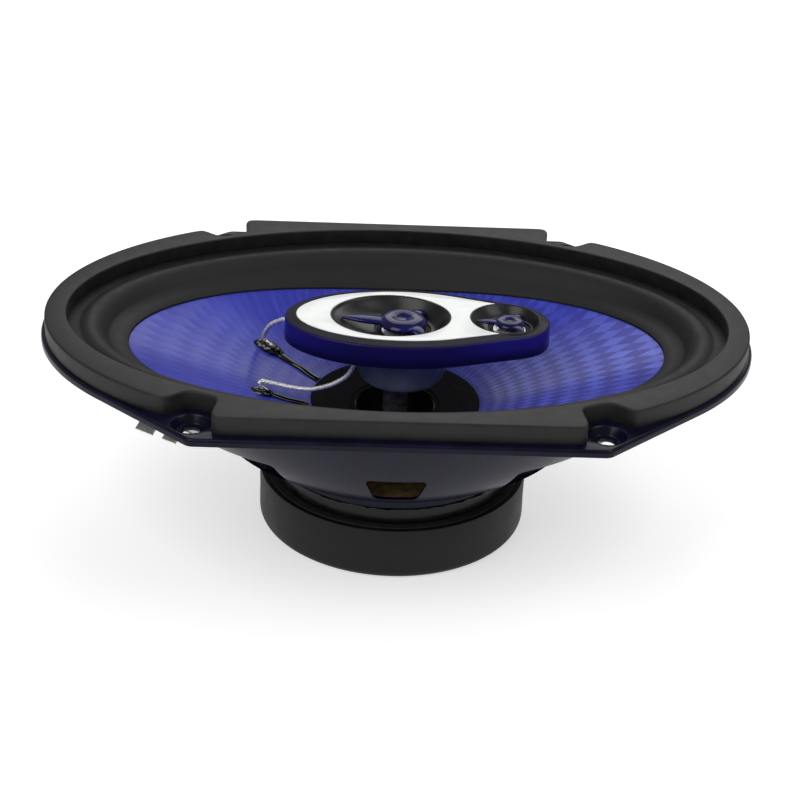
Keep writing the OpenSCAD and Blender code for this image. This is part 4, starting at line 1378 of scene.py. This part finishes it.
def makeStrands():  # the ends of the tinsel, fanned out on the glue
    shape = strandShape
    section = lambda turn, distance: (shape["radius"] * math.cos(turn), shape["radius"] * math.sin(turn))
    bm = bmesh.new()
    for x, y, turn, count in shape["fans"]:
        for i in range(count):
            lean = math.radians(turn + (i - (count - 1) / 2) * shape["spread"])
            way = Vector((math.cos(lean), math.sin(lean)))
            spots = [Vector((x, y)) + way * distance for distance in shape["along"]]
            points = [onCone(spot.x, spot.y, rise) for spot, rise in zip(spots, shape["lift"])]
            addSweep(bm, throughPoints(points, 5), section, 8)
    return finishPiece("lead_strands", bm, "tinselBraid", [], "cone_assembly", crease=60)


def stripSection(turn, distance):  # a painted strip, wider here and there
    across = 1.3 + 0.15 * math.sin(distance * 0.5)
    high = 0.95 + 0.1 * math.sin(distance * 0.7)
    return (across * math.cos(turn), high * math.sin(turn))


def makeCoilLeads():
    bm = bmesh.new()
    for route in coilLeadRoutes:
        addSweep(bm, throughPoints([onCone(x, y, 0.15) for x, y in route], 10), stripSection)
    nodes, body = ["coil_leads"], "cone_assembly"
    return finishPiece("coil_lead_strips", bm, "blackGlue", nodes, body, crease=80)


def makeLeads():
    routes, thick, thin = leadRoutes, leadRoutes["thickness"], leadRoutes["hiddenThickness"]
    makeLead("pod_lead_rear_braid", routes["rear"], "pod_lead_rear", (0, 0, -1.6), (0, 0, -10.5), thick)
    makeLead("pod_lead_front_braid", routes["front"], "pod_lead_front", (0, 0, -1), (0, 0, -12.5), thick)
    for name, node in (("basketRear", "basket_lead_rear"), ("basketFront", "basket_lead_front")):
        route = routes[name]
        makeLead(node + "_braid", route, node, route[3], route[6], thin)


makeLeads()
makeGlue()
makeStrands()
makeCoilLeads()
print("leads ready")


# nodes that keep their own shape

keptNodes = {
    "basket_rivets": ("zincSteel", "tinned_metal"),
    "pole_yoke": ("zincSteel", "steel_plate"),
    "terminal_board": ("boardPaper", "terminal_board_paper"),
    "terminal_tab_positive": ("tinnedMetal", "tinned_metal"),
    "terminal_tab_negative": ("tinnedMetal", "tinned_metal"),
    "terminal_rivets": ("zincSteel", "tinned_metal"),
    "pod_post": ("zincSteel", "steel_plate"),
    "pod_screw": ("zincSteel", "steel_plate"),
    "pod_base_cover": ("podPlastic", "pod_blue"),
    "mid_pot": ("zincSteel", "steel_plate"),
    "mid_magnet": ("neodymium", "neodymium"),
    "mid_pole_plate": ("zincSteel", "steel_plate"),
    "mid_voice_coil": ("coilCopper", "coil_copper"),
    "tweeter_pot": ("zincSteel", "steel_plate"),
    "tweeter_magnet": ("neodymium", "neodymium"),
    "tweeter_pole_plate": ("zincSteel", "steel_plate"),
    "tweeter_voice_coil": ("coilCopper", "coil_copper"),
    "crossover_capacitor_mid": ("capacitorFilm", "capacitor_film"),
    "crossover_capacitor_tweeter": ("capacitorFilm", "capacitor_film"),
}
for nodeName, (finishName, slotName) in keptNodes.items():
    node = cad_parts[nodeName]
    node.data.materials.clear()
    node.data.materials.append(finishes[finishName].material)

bm = bmesh.new()
bmesh.ops.create_grid(bm, x_segments=1, y_segments=1, size=4000)
bmesh.ops.translate(bm, verts=bm.verts, vec=(0, 0, bootLow.z - 0.05))
bmesh.ops.scale(bm, vec=(millimetre,) * 3, verts=bm.verts)
floorMesh = bpy.data.meshes.new("floor")
bm.to_mesh(floorMesh)
bm.free()
floorMesh.materials.append(finishes["floorPaper"].material)
finishes["floorPaper"].shader.inputs["Emission Color"].default_value = (1, 1, 1, 1)
finishes["floorPaper"].shader.inputs["Emission Strength"].default_value = studio["glow"]
floor = bpy.data.objects.new("floor", floorMesh)
scene.collection.objects.link(floor)

print("all pieces ready")
